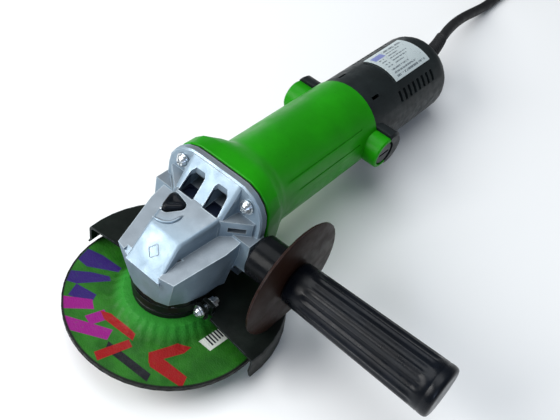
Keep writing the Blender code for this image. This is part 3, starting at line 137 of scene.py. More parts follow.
# ---------------------------------------------------------------- materials
class Finish:
    """A procedural material around one Principled shader."""

    def __init__(self, name, colour=(0.5, 0.5, 0.5), metallic=0.0, roughness=0.5, **sockets):
        self.made = bpy.data.materials.new(name)
        self.made.use_nodes = True
        self.tree = self.made.node_tree
        self.shader = self.tree.nodes["Principled BSDF"]
        self.set("Base Color", (*colour, 1))
        self.set("Metallic", metallic)
        self.set("Roughness", roughness)
        for socket, value in sockets.items():
            self.set(socket.replace("_", " ").title().replace("Ior", "IOR"), value)
        self.place = None

    def set(self, socket, value):
        self.shader.inputs[socket].default_value = value

    def drive(self, socket, value):
        self.tree.links.new(value, self.shader.inputs[socket])

    def node(self, kind, inputs=(), **settings):
        made = self.tree.nodes.new("ShaderNode" + kind)
        for key, value in settings.items():
            setattr(made, key, value)
        for key, value in dict(inputs).items():
            if isinstance(value, bpy.types.NodeSocket):
                self.tree.links.new(value, made.inputs[key])
            else:
                made.inputs[key].default_value = value
        return made

    def coords(self):
        """Tool-frame coordinates in metres, at rest, fixed to the piece."""
        if self.place is None:
            base = self.node("TexCoord").outputs["Object"]
            inputs = {"Vector": base, "Location": TOOL_AT, "Rotation": tuple(TURN)}
            self.place = self.node("Mapping", inputs, vector_type="TEXTURE").outputs[0]
        return self.place

    def axis(self, letter):
        return self.node("SeparateXYZ", {0: self.coords()}).outputs[letter]

    def noise(self, scale, detail=4.0, roughness=0.55, stretch=None):
        place = self.coords()
        if stretch:
            place = self.node("VectorMath", {0: place, 1: stretch}, operation="MULTIPLY").outputs[0]
        inputs = {"Vector": place, "Scale": scale, "Detail": detail, "Roughness": roughness}
        return self.node("TexNoise", inputs).outputs["Fac"]

    def cells(self, scale, stretch=None):
        place = self.coords()
        if stretch:
            place = self.node("VectorMath", {0: place, 1: stretch}, operation="MULTIPLY").outputs[0]
        return self.node("TexVoronoi", {"Vector": place, "Scale": scale}).outputs["Distance"]

    def span(self, value, low, high, to_low=0.0, to_high=1.0):
        inputs = {0: value, 1: low, 2: high, 3: to_low, 4: to_high}
        return self.node("MapRange", inputs, interpolation_type="SMOOTHSTEP").outputs[0]

    def math(self, kind, a, b=0.0):
        return self.node("Math", {0: a, 1: b}, operation=kind).outputs[0]

    def blend(self, share, low, high):
        inputs = {"Factor": share}
        inputs["A"] = low if isinstance(low, bpy.types.NodeSocket) else (*low, 1)
        inputs["B"] = high if isinstance(high, bpy.types.NodeSocket) else (*high, 1)
        made = self.tree.nodes.new("ShaderNodeMix")
        made.data_type = "RGBA"
        ports = {"Factor": 0, "A": 6, "B": 7}
        for key, value in inputs.items():
            if isinstance(value, bpy.types.NodeSocket):
                self.tree.links.new(value, made.inputs[ports[key]])
            else:
                made.inputs[ports[key]].default_value = value
        return made.outputs[2]

    def edges(self, radius, low=0.02, high=0.16):
        """How near a sharp edge the surface is, from 0 to 1."""
        round_normal = self.node("Bevel", {"Radius": radius}, samples=4).outputs[0]
        true_normal = self.node("NewGeometry").outputs["Normal"]
        both = {0: round_normal, 1: true_normal}
        dot = self.node("VectorMath", both, operation="DOT_PRODUCT").outputs["Value"]
        return self.span(self.math("SUBTRACT", 1.0, dot), low, high)

    def bump(self, height, strength, distance, below=None):
        inputs = {"Height": height, "Strength": strength, "Distance": distance}
        if below is not None:
            inputs["Normal"] = below
        return self.node("Bump", inputs).outputs[0]

    def ground(
        self, light, dark, patch=60.0, speck=900.0, rough=(0.35, 0.5), grain=0.15, depth=0.0001, wear=None
    ):
        """The usual surface: patchy colour, worn edges, uneven gloss and a fine grain."""
        patches = self.span(self.noise(patch, 6.0), 0.35, 0.68)
        colour = self.blend(patches, dark, light)
        specks = self.span(self.noise(speck, 3.0), 0.52, 0.72, 0.0, 0.35)
        colour = self.blend(specks, colour, tuple(c * 0.55 for c in dark))
        if wear:
            rub = self.math("MULTIPLY", self.edges(0.0006), self.span(self.noise(220.0, 5.0), 0.38, 0.6))
            colour = self.blend(rub, colour, wear)
        self.drive("Base Color", colour)
        self.drive("Roughness", self.span(self.noise(patch * 3.1, 7.0), 0.3, 0.7, *rough))
        self.drive("Normal", self.bump(self.noise(speck * 1.3, 4.0), grain, depth))
        return colour


def plain_floor():
    f = Finish("floor_paper", roughness=0.85)
    f.drive("Base Color", f.blend(f.noise(1.5, 2.0), (0.86, 0.87, 0.88), (0.9, 0.905, 0.91)))
    f.drive("Normal", f.bump(f.noise(500.0, 3.0), 0.05, 0.0001))
    return f.made


def window_depth(f):
    """Where the walls of the exhaust windows lie in their own shadow, towards the rear, from 0 to 1."""
    x, y, z = f.axis("X"), f.axis("Y"), f.axis("Z")
    wide = f.math("ABSOLUTE", x)
    behind = f.math("MULTIPLY", f.span(y, 0.0150, 0.0175), f.span(y, 0.0236, 0.0239, 1.0, 0.0))
    between = f.math("MULTIPLY", f.span(wide, 0.0033, 0.0035), f.span(wide, 0.0147, 0.0149, 1.0, 0.0))
    below_rim = f.math("SUBTRACT", f.math("ADD", y, 0.0010), z)
    sunk = f.span(below_rim, -0.0004, 0.0012)
    return f.math("MULTIPLY", f.math("MULTIPLY", behind, between), sunk)


def cast_aluminium():
    f = Finish("cast_aluminium", metallic=0.62, roughness=0.45)
    pebble = f.cells(1400.0)
    # Painted shade: faces that look up along the spindle are painted darker and greyer, standing in for how the
    # top planes take the light.
    top = f.node("TexCoord").outputs["Normal"]
    up = f.node("VectorMath", {0: top, 1: tuple(TOOL_AXES[2])}, operation="DOT_PRODUCT").outputs["Value"]
    flat = f.span(up, 0.86, 0.97)
    patches = f.span(f.noise(45.0, 6.0), 0.3, 0.7)
    colour = f.blend(patches, (0.225, 0.305, 0.38), (0.275, 0.36, 0.435))
    colour = f.blend(f.math("MULTIPLY", flat, 0.85), colour, (0.215, 0.240, 0.265))
    grime = f.span(f.noise(300.0, 8.0, 0.7), 0.55, 0.75, 0.0, 0.35)
    colour = f.blend(grime, colour, (0.30, 0.33, 0.36))
    colour = f.blend(f.edges(0.0009, 0.01, 0.2), colour, (0.50, 0.58, 0.63))
    colour = f.blend(window_depth(f), colour, (0.012, 0.020, 0.045))
    f.drive("Base Color", colour)
    f.drive("Roughness", f.span(f.noise(120.0, 6.0), 0.3, 0.7, 0.38, 0.54))
    soft = f.bump(f.noise(90.0, 3.0), 0.25, 0.0006)
    f.drive("Normal", f.bump(pebble, 0.22, 0.0002, soft))
    return f.made


def green_plastic():
    f = Finish("green_plastic", roughness=0.36, specular_ior_level=0.14)
    patches = f.span(f.noise(28.0, 5.0), 0.3, 0.7)
    colour = f.blend(patches, (0.0085, 0.215, 0.0015), (0.012, 0.29, 0.002))
    rub = f.math("MULTIPLY", f.edges(0.0007), f.span(f.noise(160.0, 6.0), 0.4, 0.6, 0.0, 0.6))
    colour = f.blend(rub, colour, (0.03, 0.38, 0.01))
    specks = f.span(f.noise(700.0, 4.0), 0.6, 0.75, 0.0, 0.4)
    colour = f.blend(specks, colour, (0.008, 0.12, 0.002))
    f.drive("Base Color", colour)
    f.drive("Roughness", f.span(f.noise(90.0, 7.0), 0.3, 0.7, 0.28, 0.44))
    f.drive("Normal", f.bump(f.noise(1600.0, 3.0), 0.12, 0.00012))
    return f.made


SLEEVE_END, PLATE_START = 0.0594, 0.0606


def hand_guard_plastic():
    """Black and glossy on the sleeve, brown-black and duller on the plate."""
    f = Finish("brown_black_plastic", specular_ior_level=0.08)
    along = f.axis("X")
    plate = f.span(along, SLEEVE_END, PLATE_START)
    patches = f.span(f.noise(55.0, 6.0), 0.3, 0.7)
    brown = f.blend(patches, (0.0125, 0.0055, 0.0035), (0.020, 0.0080, 0.005))
    black = f.blend(patches, (0.004, 0.005, 0.006), (0.008, 0.009, 0.011))
    colour = f.blend(plate, black, brown)
    rub = f.math("MULTIPLY", f.edges(0.0006), f.span(f.noise(220.0, 5.0), 0.38, 0.6))
    f.drive("Base Color", f.blend(rub, colour, (0.05, 0.05, 0.06)))
    gloss = f.span(f.noise(170.0, 6.0), 0.3, 0.7, 0.16, 0.28)
    dull = f.span(f.noise(130.0, 6.0), 0.3, 0.7, 0.34, 0.5)
    on_plate = f.math("MULTIPLY", plate, dull)
    on_sleeve = f.math("MULTIPLY", f.math("SUBTRACT", 1.0, plate), gloss)
    f.drive("Roughness", f.math("ADD", on_plate, on_sleeve))
    f.drive("Normal", f.bump(f.noise(1200.0, 4.0), 0.12, 0.0001))
    return f.made


def simple(
    name, light, dark, rough, metallic=0.0, grain=0.15, wear=None, patch=60.0, speck=900.0, depth=0.0001,
    **more
):
    """A plain finish with the usual patches, wear and grain."""
    f = Finish(name, metallic=metallic, **more)
    f.ground(light, dark, patch, speck, rough, grain, depth, wear)
    return f.made


def brushed(name, light, dark, rough, stretch, metallic=1.0):
    """Turned or drawn metal: streaks across the given stretch, and a little tarnish."""
    f = Finish(name, metallic=metallic)
    streak = f.noise(600.0, 5.0, 0.6, stretch)
    colour = f.blend(f.span(streak, 0.3, 0.7), dark, light)
    tarnish = f.span(f.noise(250.0, 7.0), 0.55, 0.75, 0.0, 0.45)
    colour = f.blend(tarnish, colour, tuple(c * 0.45 for c in dark))
    f.drive("Base Color", colour)
    f.drive("Roughness", f.span(f.noise(180.0, 6.0), 0.3, 0.7, *rough))
    f.drive("Normal", f.bump(streak, 0.18, 0.00008))
    return f.made


def half_plane(f, x, y, a, b):
    """Signed distance to the left of the line from a to b, in metres."""
    dx, dy = b[0] - a[0], b[1] - a[1]
    size = (dx * dx + dy * dy) ** 0.5
    nx, ny = -dy / size, dx / size
    flat = f.math("ADD", f.math("MULTIPLY", x, nx), f.math("MULTIPLY", y, ny))
    return f.math("SUBTRACT", flat, (a[0] * nx + a[1] * ny) * MM)


def patch_mask(f, x, y, corners, soft=0.0003):
    """One convex patch, from its corners in millimetres, counter-clockwise."""
    inside = None
    for a, b in zip(corners, corners[1:] + corners[:1]):
        side = half_plane(f, x, y, a, b)
        inside = side if inside is None else f.math("MINIMUM", inside, side)
    return f.span(inside, -soft, soft)


# The wheel's printed patches: a colour, then convex corners in the tool frame's X and Y, in millimetres.
PURPLE = (0.024, 0.010, 0.115)
MAGENTA = (0.230, 0.006, 0.165)
RED = (0.260, 0.005, 0.006)
DARK = (0.008, 0.008, 0.012)
DISC_INK = (
    (PURPLE, ((-60.5, -8), (-58, -20), (-50, -20), (-34, -9), (-36, -3), (-50, -7))),
    (PURPLE, ((-55, -27), (-50, -36), (-44, -33), (-32, -17), (-37, -14), (-45, -21))),
    (PURPLE, ((-44, -33), (-41, -42), (-27, -37), (-30, -30))),
    (MAGENTA, ((-43, -45), (-36, -51), (-23, -38), (-29, -34))),
    (MAGENTA, ((-31, -53), (-22, -58), (-2, -47), (-5, -40))),
    (MAGENTA, ((-23, -45), (-16, -47), (-12, -36), (-19, -34))),
    (DARK, ((-1, -47), (2, -52), (33, -50), (31, -45))),
    (RED, ((-1, -57.5), (4.5, -60), (11, -40), (6, -38))),
    (RED, ((-20, -36), (-14, -38.5), (8, -37), (6, -33), (-14, -33))),
    (RED, ((20, -36), (27, -42), (49, -39), (46, -32), (28, -33))),
    (RED, ((20, -36), (25, -41), (34, -22), (34, -16), (27, -20))),
)
STICKER = ((34, -10), (43, -10), (44.5, 6), (36, 7.5))


RAISED_FROM, RAISED_TO = 0.0275, 0.0345
RIM_FROM, RIM_TO = 0.0606, 0.0616


def abrasive():
    """Resin-bonded wheel: coarse green grit, plain coloured patches in print, and a paper sticker."""
    f = Finish("green_abrasive", roughness=0.7, specular_ior_level=0.2)
    x, y = f.axis("X"), f.axis("Y")
    radius = f.math("SQRT", f.math("ADD", f.math("MULTIPLY", x, x), f.math("MULTIPLY", y, y)))
    grit = f.cells(1100.0)
    patches = f.span(f.noise(70.0, 7.0), 0.3, 0.7)
    colour = f.blend(patches, (0.009, 0.085, 0.005), (0.020, 0.145, 0.010))
    raised = f.span(radius, RAISED_FROM, RAISED_TO, 1.0, 0.0)
    colour = f.blend(raised, colour, (0.020, 0.215, 0.020))
    for ink, corners in DISC_INK:
        mask = patch_mask(f, x, y, list(corners))
        mask = f.math("MULTIPLY", mask, f.span(f.noise(500.0, 4.0), 0.2, 0.42, 0.75, 1.0))
        colour = f.blend(mask, colour, ink)
    glints = f.span(f.cells(2600.0), 0.0, 0.16, 0.28, 0.0)
    colour = f.blend(glints, colour, (0.30, 0.42, 0.24))
    sticker = patch_mask(f, x, y, list(STICKER), 0.0002)
    along = f.math("ADD", f.math("MULTIPLY", x, 0.1), y)
    bars = f.span(f.math("SINE", f.math("MULTIPLY", along, 2900.0)), -0.2, 0.2)
    printed = f.math("MULTIPLY", f.span(along, -0.0035, -0.0030), f.span(x, 0.0412, 0.0418, 1.0, 0.0))
    print_tone = f.blend(f.math("MULTIPLY", bars, printed), (0.62, 0.66, 0.60), (0.02, 0.02, 0.03))
    colour = f.blend(sticker, colour, print_tone)
    rim = f.span(radius, RIM_FROM, RIM_TO)
    colour = f.blend(rim, colour, (0.006, 0.007, 0.006))
    f.drive("Base Color", colour)
    f.drive("Roughness", f.span(f.noise(240.0, 6.0), 0.3, 0.7, 0.42, 0.75))
    turn = f.math("ARCTAN2", y, x)
    wander = f.math("MULTIPLY", f.noise(60.0, 3.0), 9.0)
    creases = f.math("SINE", f.math("ADD", f.math("MULTIPLY", turn, 31.0), wander))
    crease_band = f.math("MULTIPLY", f.span(radius, 0.024, 0.029), f.span(radius, 0.034, 0.040, 1.0, 0.0))
    dents = f.math("MULTIPLY", f.math("MULTIPLY", creases, f.noise(120.0, 4.0)), crease_band)
    broad = f.bump(dents, 0.45, 0.0009)
    f.drive("Normal", f.bump(grit, 0.5, 0.0003, broad))
    return f.made


# Each printed bar on the nameplate: its angle and height in radians, then its start and end along the motor.
LABEL_ROWS = (
    (-0.37, 0.075, 0.2050, 0.2270), (-0.26, 0.035, 0.2050, 0.2210), (-0.16, 0.035, 0.1930, 0.1985),
    (-0.16, 0.035, 0.2020, 0.2160), (-0.07, 0.035, 0.1930, 0.1985), (-0.07, 0.035, 0.2020, 0.2225),
    (0.02, 0.035, 0.1930, 0.1985), (0.02, 0.035, 0.2020, 0.2190), (0.11, 0.035, 0.1930, 0.1985),
    (0.11, 0.035, 0.2020, 0.2120), (0.22, 0.045, 0.1930, 0.2140), (0.32, 0.045, 0.1930, 0.2180),
    (0.42, 0.055, 0.1930, 0.2270),
)


def label_silver():
    """Foil nameplate: brushed silver with plain printed bars that stand for its text."""
    f = Finish("silver_label", metallic=0.35, roughness=0.34)
    y = f.axis("Y")
    x, z = f.axis("X"), f.axis("Z")
    turn = f.math("ARCTAN2", x, z)
    streak = f.noise(500.0, 4.0, 0.6, (1.0, 12.0, 1.0))
    colour = f.blend(f.span(streak, 0.3, 0.7), (0.60, 0.69, 0.71), (0.72, 0.80, 0.81))

    def window(value, low, high):
        edge = (high - low) * 0.04
        after = f.span(value, low - edge, low + edge)
        before = f.span(value, high - edge, high + edge, 1.0, 0.0)
        return f.math("MULTIPLY", after, before)

    words = f.span(f.noise(900.0, 2.0, 0.5, (0.5, 1.0, 0.5)), 0.40, 0.48)
    for at, tall, start, stop in LABEL_ROWS:
        mask = f.math("MULTIPLY", window(turn, at - tall / 2, at + tall / 2), window(y, start, stop))
        inked = f.math("MULTIPLY", f.math("MULTIPLY", mask, words), 0.75)
        colour = f.blend(inked, colour, (0.05, 0.07, 0.10))
    badge = f.math("MULTIPLY", window(turn, -0.40, -0.22), window(y, 0.1915, 0.2035))
    colour = f.blend(f.math("MULTIPLY", badge, 0.8), colour, (0.16, 0.19, 0.60))
    f.drive("Base Color", colour)
    f.drive("Roughness", f.span(f.noise(300.0, 5.0), 0.3, 0.7, 0.26, 0.42))
    f.drive("Normal", f.bump(streak, 0.1, 0.00005))
    return f.made


FINISHES = {
    "cast_aluminium": cast_aluminium(),
    "green_plastic": green_plastic(),
    "green_abrasive": abrasive(),
    "silver_label": label_silver(),
    "dark_plastic": simple(
        "dark_plastic", (0.012, 0.017, 0.018), (0.0075, 0.0105, 0.0112), (0.36, 0.54), grain=0.2,
        wear=(0.035, 0.042, 0.046), specular_ior_level=0.2,
    ),
    "black_plastic": simple(
        "black_plastic", (0.0032, 0.0050, 0.0090), (0.0018, 0.0028, 0.0050), (0.26, 0.38),
        wear=(0.018, 0.024, 0.036), specular_ior_level=0.2,
    ),
    "brown_black_plastic": hand_guard_plastic(),
    "black_paint": simple(
        "black_paint", (0.0080, 0.0115, 0.0095), (0.0040, 0.0060, 0.0050), (0.3, 0.48), grain=0.25,
        wear=(0.06, 0.07, 0.08), speck=600.0, depth=0.0002, specular_ior_level=0.16,
    ),
    "black_rubber": simple(
        "black_rubber", (0.012, 0.012, 0.014), (0.006, 0.006, 0.007), (0.5, 0.68), grain=0.25,
        specular_ior_level=0.3,
    ),
    "white_nylon": simple("white_nylon", (0.62, 0.62, 0.58), (0.5, 0.5, 0.46), (0.4, 0.55)),
    "carbon": simple(
        "carbon", (0.018, 0.018, 0.02), (0.008, 0.008, 0.009), (0.5, 0.7), metallic=0.2, grain=0.4
    ),
    "zinc_steel": brushed("zinc_steel", (0.72, 0.76, 0.78), (0.5, 0.54, 0.57), (0.2, 0.36), (1.0, 1.0, 1.0)),
    "ground_steel": brushed(
        "ground_steel", (0.58, 0.59, 0.6), (0.4, 0.41, 0.43), (0.18, 0.34), (1.0, 1.0, 9.0)
    ),
    "lamination_steel": brushed(
        "lamination_steel", (0.3, 0.3, 0.31), (0.14, 0.14, 0.15), (0.4, 0.55), (1.0, 18.0, 1.0)
    ),
    "copper": brushed("copper", (0.78, 0.33, 0.16), (0.5, 0.18, 0.08), (0.25, 0.42), (1.0, 10.0, 1.0)),
    "brass": brushed("brass", (0.72, 0.52, 0.22), (0.5, 0.34, 0.12), (0.25, 0.4), (1.0, 6.0, 1.0)),
}


# ---------------------------------------------------------------- mesh helpers
def object_from(name, form, finish, smooth=True, place=TOOL):
    """Turns a bmesh in tool-frame millimetres into an object in the row frame."""
    bmesh.ops.recalc_face_normals(form, faces=form.faces)
    mesh = bpy.data.meshes.new(name)
    form.to_mesh(mesh)
    form.free()
    if place is not None:
        mesh.transform(place @ Matrix.Scale(MM, 4))
    if smooth:
        mesh.shade_smooth()
    mesh.materials.append(FINISHES[finish])
    made = bpy.data.objects.new(name, mesh)
    bpy.context.scene.collection.objects.link(made)
    return made


def loft(name, rings, finish, caps=True, closed=False, place=TOOL):
    """Joins rings of equal count into one skin, capped or closed on itself."""
    form = bmesh.new()
    rows = [[form.verts.new(point) for point in points] for points in rings]
    count = len(rows[0])
    pairs = list(zip(rows, rows[1:]))
    if closed:
        pairs.append((rows[-1], rows[0]))
    for first, second in pairs:
        for i in range(count):
            j = (i + 1) % count
            form.faces.new((first[i], first[j], second[j], second[i]))
    if caps and not closed:
        form.faces.new(rows[0])
        form.faces.new(rows[-1])
    return object_from(name, form, finish, place=place)


def lathe(name, profile, finish, axis, at, steps=48, place=TOOL):
    """Turns a closed (radius, along) profile about one axis."""
    u, v, w = {"X": ((0, 1, 0), (0, 0, 1), (1, 0, 0)), "Y": ((0, 0, 1), (1, 0, 0), (0, 1, 0)),
               "Z": ((1, 0, 0), (0, 1, 0), (0, 0, 1))}[axis]
    u, v, w, at = Vector(u), Vector(v), Vector(w), Vector(at)
    rings = []
    for i in range(steps):
        angle = 2 * pi * i / steps
        out = u * cos(angle) + v * sin(angle)
        rings.append([tuple(at + out * r + w * along) for r, along in profile])
    return loft(name, rings, finish, closed=True, place=place)


def bevelled(piece, width=0.3, segments=2, angle=32):
    """Rounds a piece's sharp edges without touching its mesh."""
    weld = piece.modifiers.new("weld", "WELD")
    weld.merge_threshold = 0.00001
    round_off = piece.modifiers.new("round", "BEVEL")
    round_off.width = width * MM
    round_off.segments = segments
    round_off.limit_method = "ANGLE"
    round_off.angle_limit = radians(angle)
    round_off.harden_normals = True
    round_off.use_clamp_overlap = True


SLOT_OF = {entry["node"]: entry["material_slot"] for entry in frame["record"]["subparts"]}
# Edge rounding in millimetres where it is wider than on the small pieces.
WIDE_EDGES = {
    "gear_case": 0.9, "motor_housing": 0.8, "tail_cover": 0.4, "guard_shell": 0.3, "hand_guard": 0.4,
}


def dress_nodes():
    """Gives each CAD node its finish, smooth shading and rounded edges."""
    for name, node in NODES.items():
        mesh = node.data
        for attribute in ("custom_normal", "sharp_edge", "sharp_face"):
            if attribute in mesh.attributes:
                mesh.attributes.remove(mesh.attributes[attribute])
        mesh.shade_smooth()
        mesh.materials.clear()
        mesh.materials.append(FINISHES[SLOT_OF[name]])
        bevelled(node, WIDE_EDGES.get(name, 0.2), 3 if name in WIDE_EDGES else 2)


# ---------------------------------------------------------------- the cord and its plug
CORD_D = 7.8 * MM
TAIL_END = 250.0
COIL_AT = Vector((tool(-58, 447, 0).x, tool(-58, 447, 0).y, 0))
COIL_COLUMNS = {"inner": 40.9 * MM, "outer": 49.1 * MM}
COIL_PITCH = 8.3 * MM
COIL_PLACES = (
    ("outer", 0), ("inner", 0), ("inner", 1), ("outer", 1),
    ("outer", 2), ("inner", 2), ("inner", 3), ("outer", 3),
)
PLUG_AT = COIL_AT + Vector((53.1, 78, 10.8)) * MM
COIL_STEPS = 24


def bezier(a, b, c, d, pieces):
    """Points along one cubic curve."""
    points = []
    for i in range(pieces + 1):
        t = i / pieces
        points.append(a * (1 - t) ** 3 + b * 3 * t * (1 - t) ** 2 + c * 3 * t * t * (1 - t) + d * t**3)
    return points


def on_floor(x, y):
    """The cord's middle where it lies on the floor under a tool-frame place."""
    point = tool(x, y, 0)
    return Vector((point.x, point.y, CORD_D / 2))


def coil_point(turned):
    """The strand's place in the coil after an angle in degrees from its start."""
    place = COIL_PLACES[0]
    radius, layer = COIL_COLUMNS[place[0]], place[1]
    for move, (column, level) in enumerate(COIL_PLACES[1:]):
        start = 360 * move + 10 + 50 * (6 - move)
        share = min(max((turned - start) / 45, 0), 1)
        share = share * share * (3 - 2 * share)
        radius += (COIL_COLUMNS[column] - radius) * share
        layer += (level - layer) * share
    angle = radians(turned)
    height = CORD_D / 2 + COIL_PITCH * layer
    return COIL_AT + Vector((radius * cos(angle), radius * sin(angle), height))


def cord_points():
    """The cord's route: out of the tail, down to the floor, round the coil and into the plug."""
    start = tool(-4.0, TAIL_END + 35.0, 8.2)
    towards = (TOOL.to_3x3() @ Vector((-0.225, 0.98, 0.141))).normalized()
    landing = on_floor(-10.8, 381.6)
    settling = Vector((0.029, 1.0, 0.0)).normalized()
    points = bezier(start, start + towards * 0.0374, landing - settling * 0.0244, landing, 20)
    joined = coil_point(0)
    points += [landing.lerp(joined, share) for share in (0.25, 0.5, 0.75)]
    turns = len(COIL_PLACES) - 1
    points += [coil_point(360 * i / COIL_STEPS) for i in range(turns * COIL_STEPS + 1)]
    last = points[-1]
    points += bezier(last, last + Vector((0, 0.03, 0)), PLUG_AT - Vector((0, 0.025, 0)), PLUG_AT, 24)[1:]
    return points


def make_cord():
    curve = bpy.data.curves.new("mains_cord", "CURVE")
    curve.dimensions = "3D"
    curve.bevel_depth = CORD_D / 2
    curve.bevel_resolution = 5
    curve.use_fill_caps = True
    points = cord_points()
    spline = curve.splines.new("POLY")
    spline.points.add(len(points) - 1)
    for place, point in zip(spline.points, points):
        place.co = (*point, 1)
    spline.use_smooth = True
    curve.materials.append(FINISHES["black_rubber"])
    cord = bpy.data.objects.new("mains_cord", curve)
    bpy.context.scene.collection.objects.link(cord)
    length = sum((b - a).length for a, b in zip(points, points[1:]))
    return cord, points[0], length


def make_plug():
    """Two-pin plug with a ribbed grip, lying beside the coil."""
    place = Matrix.Translation(PLUG_AT)
    profile = [(4.0, 0.0), (5.2, 0.4), (5.4, 11.5)]
    for i in range(4):
        wider, further = 0.7 * i, 2.5 * i
        for radius, along in ((5.6, 12.2), (6.6, 12.8), (6.7, 13.9)):
            profile.append((radius + wider, along + further))
    profile += [(8.8, 22.6), (10.2, 28), (10.6, 30.5), (10.6, 44.6), (10.2, 45.7), (9.4, 46)]
    profile += [(0.01, 46), (0.01, 0.0)]
    body = lathe("plug_shell", profile, "black_rubber", "Y", (0, 0, 0), 40, place=place)
    pins = []
    for side in (-1, 1):
        profile = [(0.01, 46.05), (2.3, 46.05), (2.3, 63.6), (2.0, 64.5), (1.3, 65.0), (0.01, 65.0)]
        foot = (side * 6.0, 0, 0)
        pins.append(lathe(f"plug_prong_{side + 2}", profile, "zinc_steel", "Y", foot, 24, place=place))
    return [body] + pins


def make_tie():
    """A soft strap that holds the coil, round its section on the side away from the tool."""
    corners = []
    low, high, inner, outer = 0.35, 33.3, 36.2, 53.9
    turns = ((outer - 3, high - 3), (inner + 3, high - 3), (inner + 3, low + 3), (outer - 3, low + 3))
    for quarter, (cx, cz) in enumerate(turns):
        start = 90 * quarter
        for step in range(5):
            angle = radians(start + 22.5 * step)
            corners.append((cx, cz, cos(angle), sin(angle)))
    rings = []
    for r, y in ((2.6, -6.5), (3.1, -6.1), (3.1, 6.1), (2.6, 6.5), (2.2, 6.1), (2.2, -6.1)):
        rings.append([(cx + r * c, y, cz + r * s) for cx, cz, c, s in corners])
    place = Matrix.Translation(COIL_AT) @ Matrix.Rotation(radians(80), 4, "Z")
    return loft("coil_tie", rings, "black_rubber", closed=True, place=place)


def make_relief():
    """Tapered rubber sleeve with ribs, where the cord leaves the tail."""
    def centre(along):
        bend = max(along, 0.0) ** 2 / 34.0**2
        return Vector((-4.0 * bend, TAIL_END + along, 5.0 + 3.2 * bend))

    stations = [(-5.5, 3.0), (-5.5, 6.2), (0.3, 6.3), (0.4, 7.6)]
    stations += [(0.9, 8.0), (3.0, 7.8), (3.6, 7.4), (4.0, 6.3)]
    along = 5.0
    while along < 32.0:
        body = 6.0 - (along - 5.0) * 0.046
        stations += [(along, body - 0.55), (along + 0.35, body - 0.05)]
        stations += [(along + 1.6, body), (along + 1.95, body - 0.55)]
        along += 2.7
    stations += [(33.5, 4.75), (36.0, 4.65), (36.6, 4.4), (36.6, 4.0), (35.2, 3.6)]
    angles = [2 * pi * i / 32 for i in range(32)]
    rings = []
    for place, r in stations:
        middle = centre(place)
        rings.append([tuple(middle + Vector((r * cos(angle), 0, r * sin(angle)))) for angle in angles])
    return loft("cord_relief", rings, "black_rubber")


def build_cord():
    cord, exit_point, length = make_cord()
    plug = make_plug()
    tie = make_tie()
    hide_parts("cord_tube", "cord_coil", "cord_tail")
    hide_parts("plug_body")
    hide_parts("plug_pin_left")
    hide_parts("plug_pin_right")
    relief = make_relief()
    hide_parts("cord_armour")
    for piece in [cord, tie, relief] + plug:
        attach(piece, "housing")


# ---------------------------------------------------------------- details on the head
LOCK_CENTRE = (-9.8, 5.5)


def lock_outline(reach, round_r, count=10):
    """A rounded triangle about the lock's axis, with one corner towards the handle side."""
    points = []
    for corner in range(3):
        towards = radians(18 + 120 * corner)
        cx = LOCK_CENTRE[0] + reach * cos(towards)
        cy = LOCK_CENTRE[1] + reach * sin(towards)
        for step in range(count + 1):
            angle = towards + radians(-60 + 120 * step / count)
            points.append((cx + round_r * cos(angle), cy + round_r * sin(angle)))
    return points


def make_button():
    """The lock button: a domed rounded triangle with a round finger dimple."""
    foot = 10.85
    levels = [
        (foot, 4.2, 2.7), (13.0, 4.2, 2.75), (14.0, 4.15, 2.6), (14.6, 4.0, 2.3),
        (14.9, 3.7, 1.9), (14.95, 3.1, 1.5), (14.9, 2.5, 1.0), (14.5, 1.6, 0.85),
        (14.2, 0.9, 0.75), (14.1, 0.1, 0.4),
    ]
    rings = []
    for z, reach, round_r in levels:
        rings.append([(x, y, z) for x, y in lock_outline(reach, round_r)])
    return loft("lock_cap", rings, "black_plastic")


def top_plane(x, y):
    """Height of the head's upper plane at a plan position."""
    return 8.6 + (y + 9.6) * (15.2 - 8.6) / (13.6 + 9.6)


def bead(name, points, radius, finish, squeeze=1.0):
    """A soft-ended raised line along tool-frame points, thin at its ends."""
    curve = bpy.data.curves.new(name, "CURVE")
    curve.dimensions = "3D"
    curve.bevel_depth = radius * MM
    curve.bevel_resolution = 5
    curve.use_fill_caps = True
    curve.resolution_u = 10
    spline = curve.splines.new("BEZIER")
    spline.bezier_points.add(len(points) - 1)
    for place, point in zip(spline.bezier_points, points):
        place.co = tool(*point)
        place.handle_left_type = place.handle_right_type = "AUTO"
    spline.bezier_points[0].radius = squeeze
    spline.bezier_points[-1].radius = squeeze
    curve.materials.append(FINISHES[finish])
    made = bpy.data.objects.new(name, curve)
    bpy.context.scene.collection.objects.link(made)
    return made


def make_lip():
    """The curved step cast into the upper plane, in front of the lock button."""
    plan = [(-12.3, -7.5), (-9.0, -7.2), (-5.0, -5.9), (-2.0, -3.2), (-0.6, 0.6), (-0.2, 3.2)]
    points = [(x, y, top_plane(x, y) + 0.05) for x, y in plan]
    return bead("head_lip", points, 1.1, "cast_aluminium", 0.3)


def nose_point(across, up):
    """A point on the head's nose facet: across from its middle, up from its middle."""
    y, z = -17.8, -0.65
    slope = ((24.1 - 11.6) ** 2 + (8.6 + 7.2) ** 2) ** 0.5
    return (across, y + up * (24.1 - 11.6) / slope, z + up * (8.6 + 7.2) / slope)


def make_emblem():
    """A plain raised lozenge outline on the nose facet."""
    corners = [(0, 4.4), (3.6, 0), (0, -4.4), (-3.6, 0), (0, 4.4)]
    points = []
    for (ax, ay), (bx, by) in zip(corners, corners[1:]):
        points += [(ax + (bx - ax) * share, ay + (by - ay) * share) for share in (0.04, 0.35, 0.65, 0.96)]
    points.append(points[0])
    return bead("head_emblem", [nose_point(x, y) for x, y in points], 0.34, "cast_aluminium")


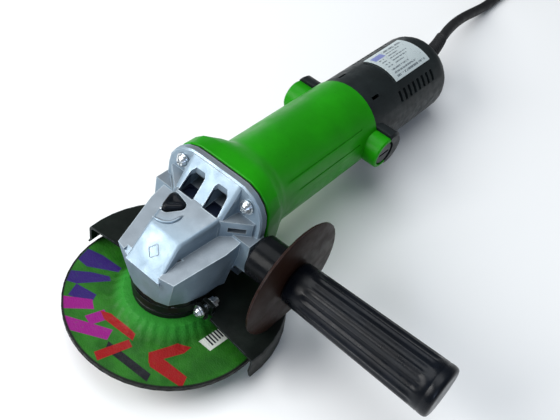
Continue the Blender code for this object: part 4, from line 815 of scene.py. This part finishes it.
def make_button_pin():
    """The domed end of the small spring pin beside the lock button's front corner."""
    x, y = -12.6, -1.2
    foot = top_plane(x, y) - 0.6
    profile = [(0.01, 0.0), (0.9, 0.0), (0.9, 1.0), (0.7, 1.35), (0.35, 1.5), (0.01, 1.55)]
    profile = [(r, foot + up) for r, up in profile]
    return lathe("lock_pin_head", profile, "zinc_steel", "Z", (x, y, 0), 20)


def build_head():
    button = make_button()
    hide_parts("lock_button")
    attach(button, "spindle_lock")
    for piece in (make_lip(), make_emblem()):
        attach(piece, "housing")
    pin = make_button_pin()
    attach(pin, "housing")


# ---------------------------------------------------------------- the side handle
def make_grip():
    """Moulded grip: eighteen rounded flutes that fade out near both ends, a collar and a domed end."""
    flutes, per = 18, 8

    def skin(x):
        return 12.9 + (x - 63.7) * 0.0272

    def depth(x):
        rise = min(max((x - 73.5) / 6.0, 0), 1)
        fall = min(max((153.0 - x) / 5.0, 0), 1)
        return 0.8 * (rise * rise * (3 - 2 * rise)) * (fall * fall * (3 - 2 * fall))

    xs = [63.8, 63.9, 64.4, 65.2, 72.0] + [73.5 + i for i in range(8)] + [84.0 + 6.5 * i for i in range(10)]
    xs += [147.0 + i for i in range(7)] + [155.2, 155.5, 156.1, 156.4, 159.0, 160.6, 161.5, 161.9, 161.95]
    drop = {63.8: 1.5, 63.9: 1.0, 64.4: 0.35, 155.5: 0.15, 156.1: 0.15}
    drop.update({160.6: 0.35, 161.5: 1.1, 161.9: 2.2, 161.95: 5.0})
    rings = []
    for x in xs:
        points = []
        for i in range(flutes * per):
            dip = depth(x) * abs(sin(pi * i / per)) ** 1.2
            r = skin(x) - drop.get(x, 0.0) - dip
            angle = 2 * pi * i / (flutes * per)
            points.append((x, HANDLE.y + r * cos(angle), HANDLE.z + r * sin(angle)))
        rings.append(points)
    return loft("grip_fluted", rings, "black_plastic")


def build_handle():
    grip = make_grip()
    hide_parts("handle_grip")
    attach(grip, "side_handle")


make_camera()
make_studio()
dress_nodes()
build_cord()
build_handle()
build_head()
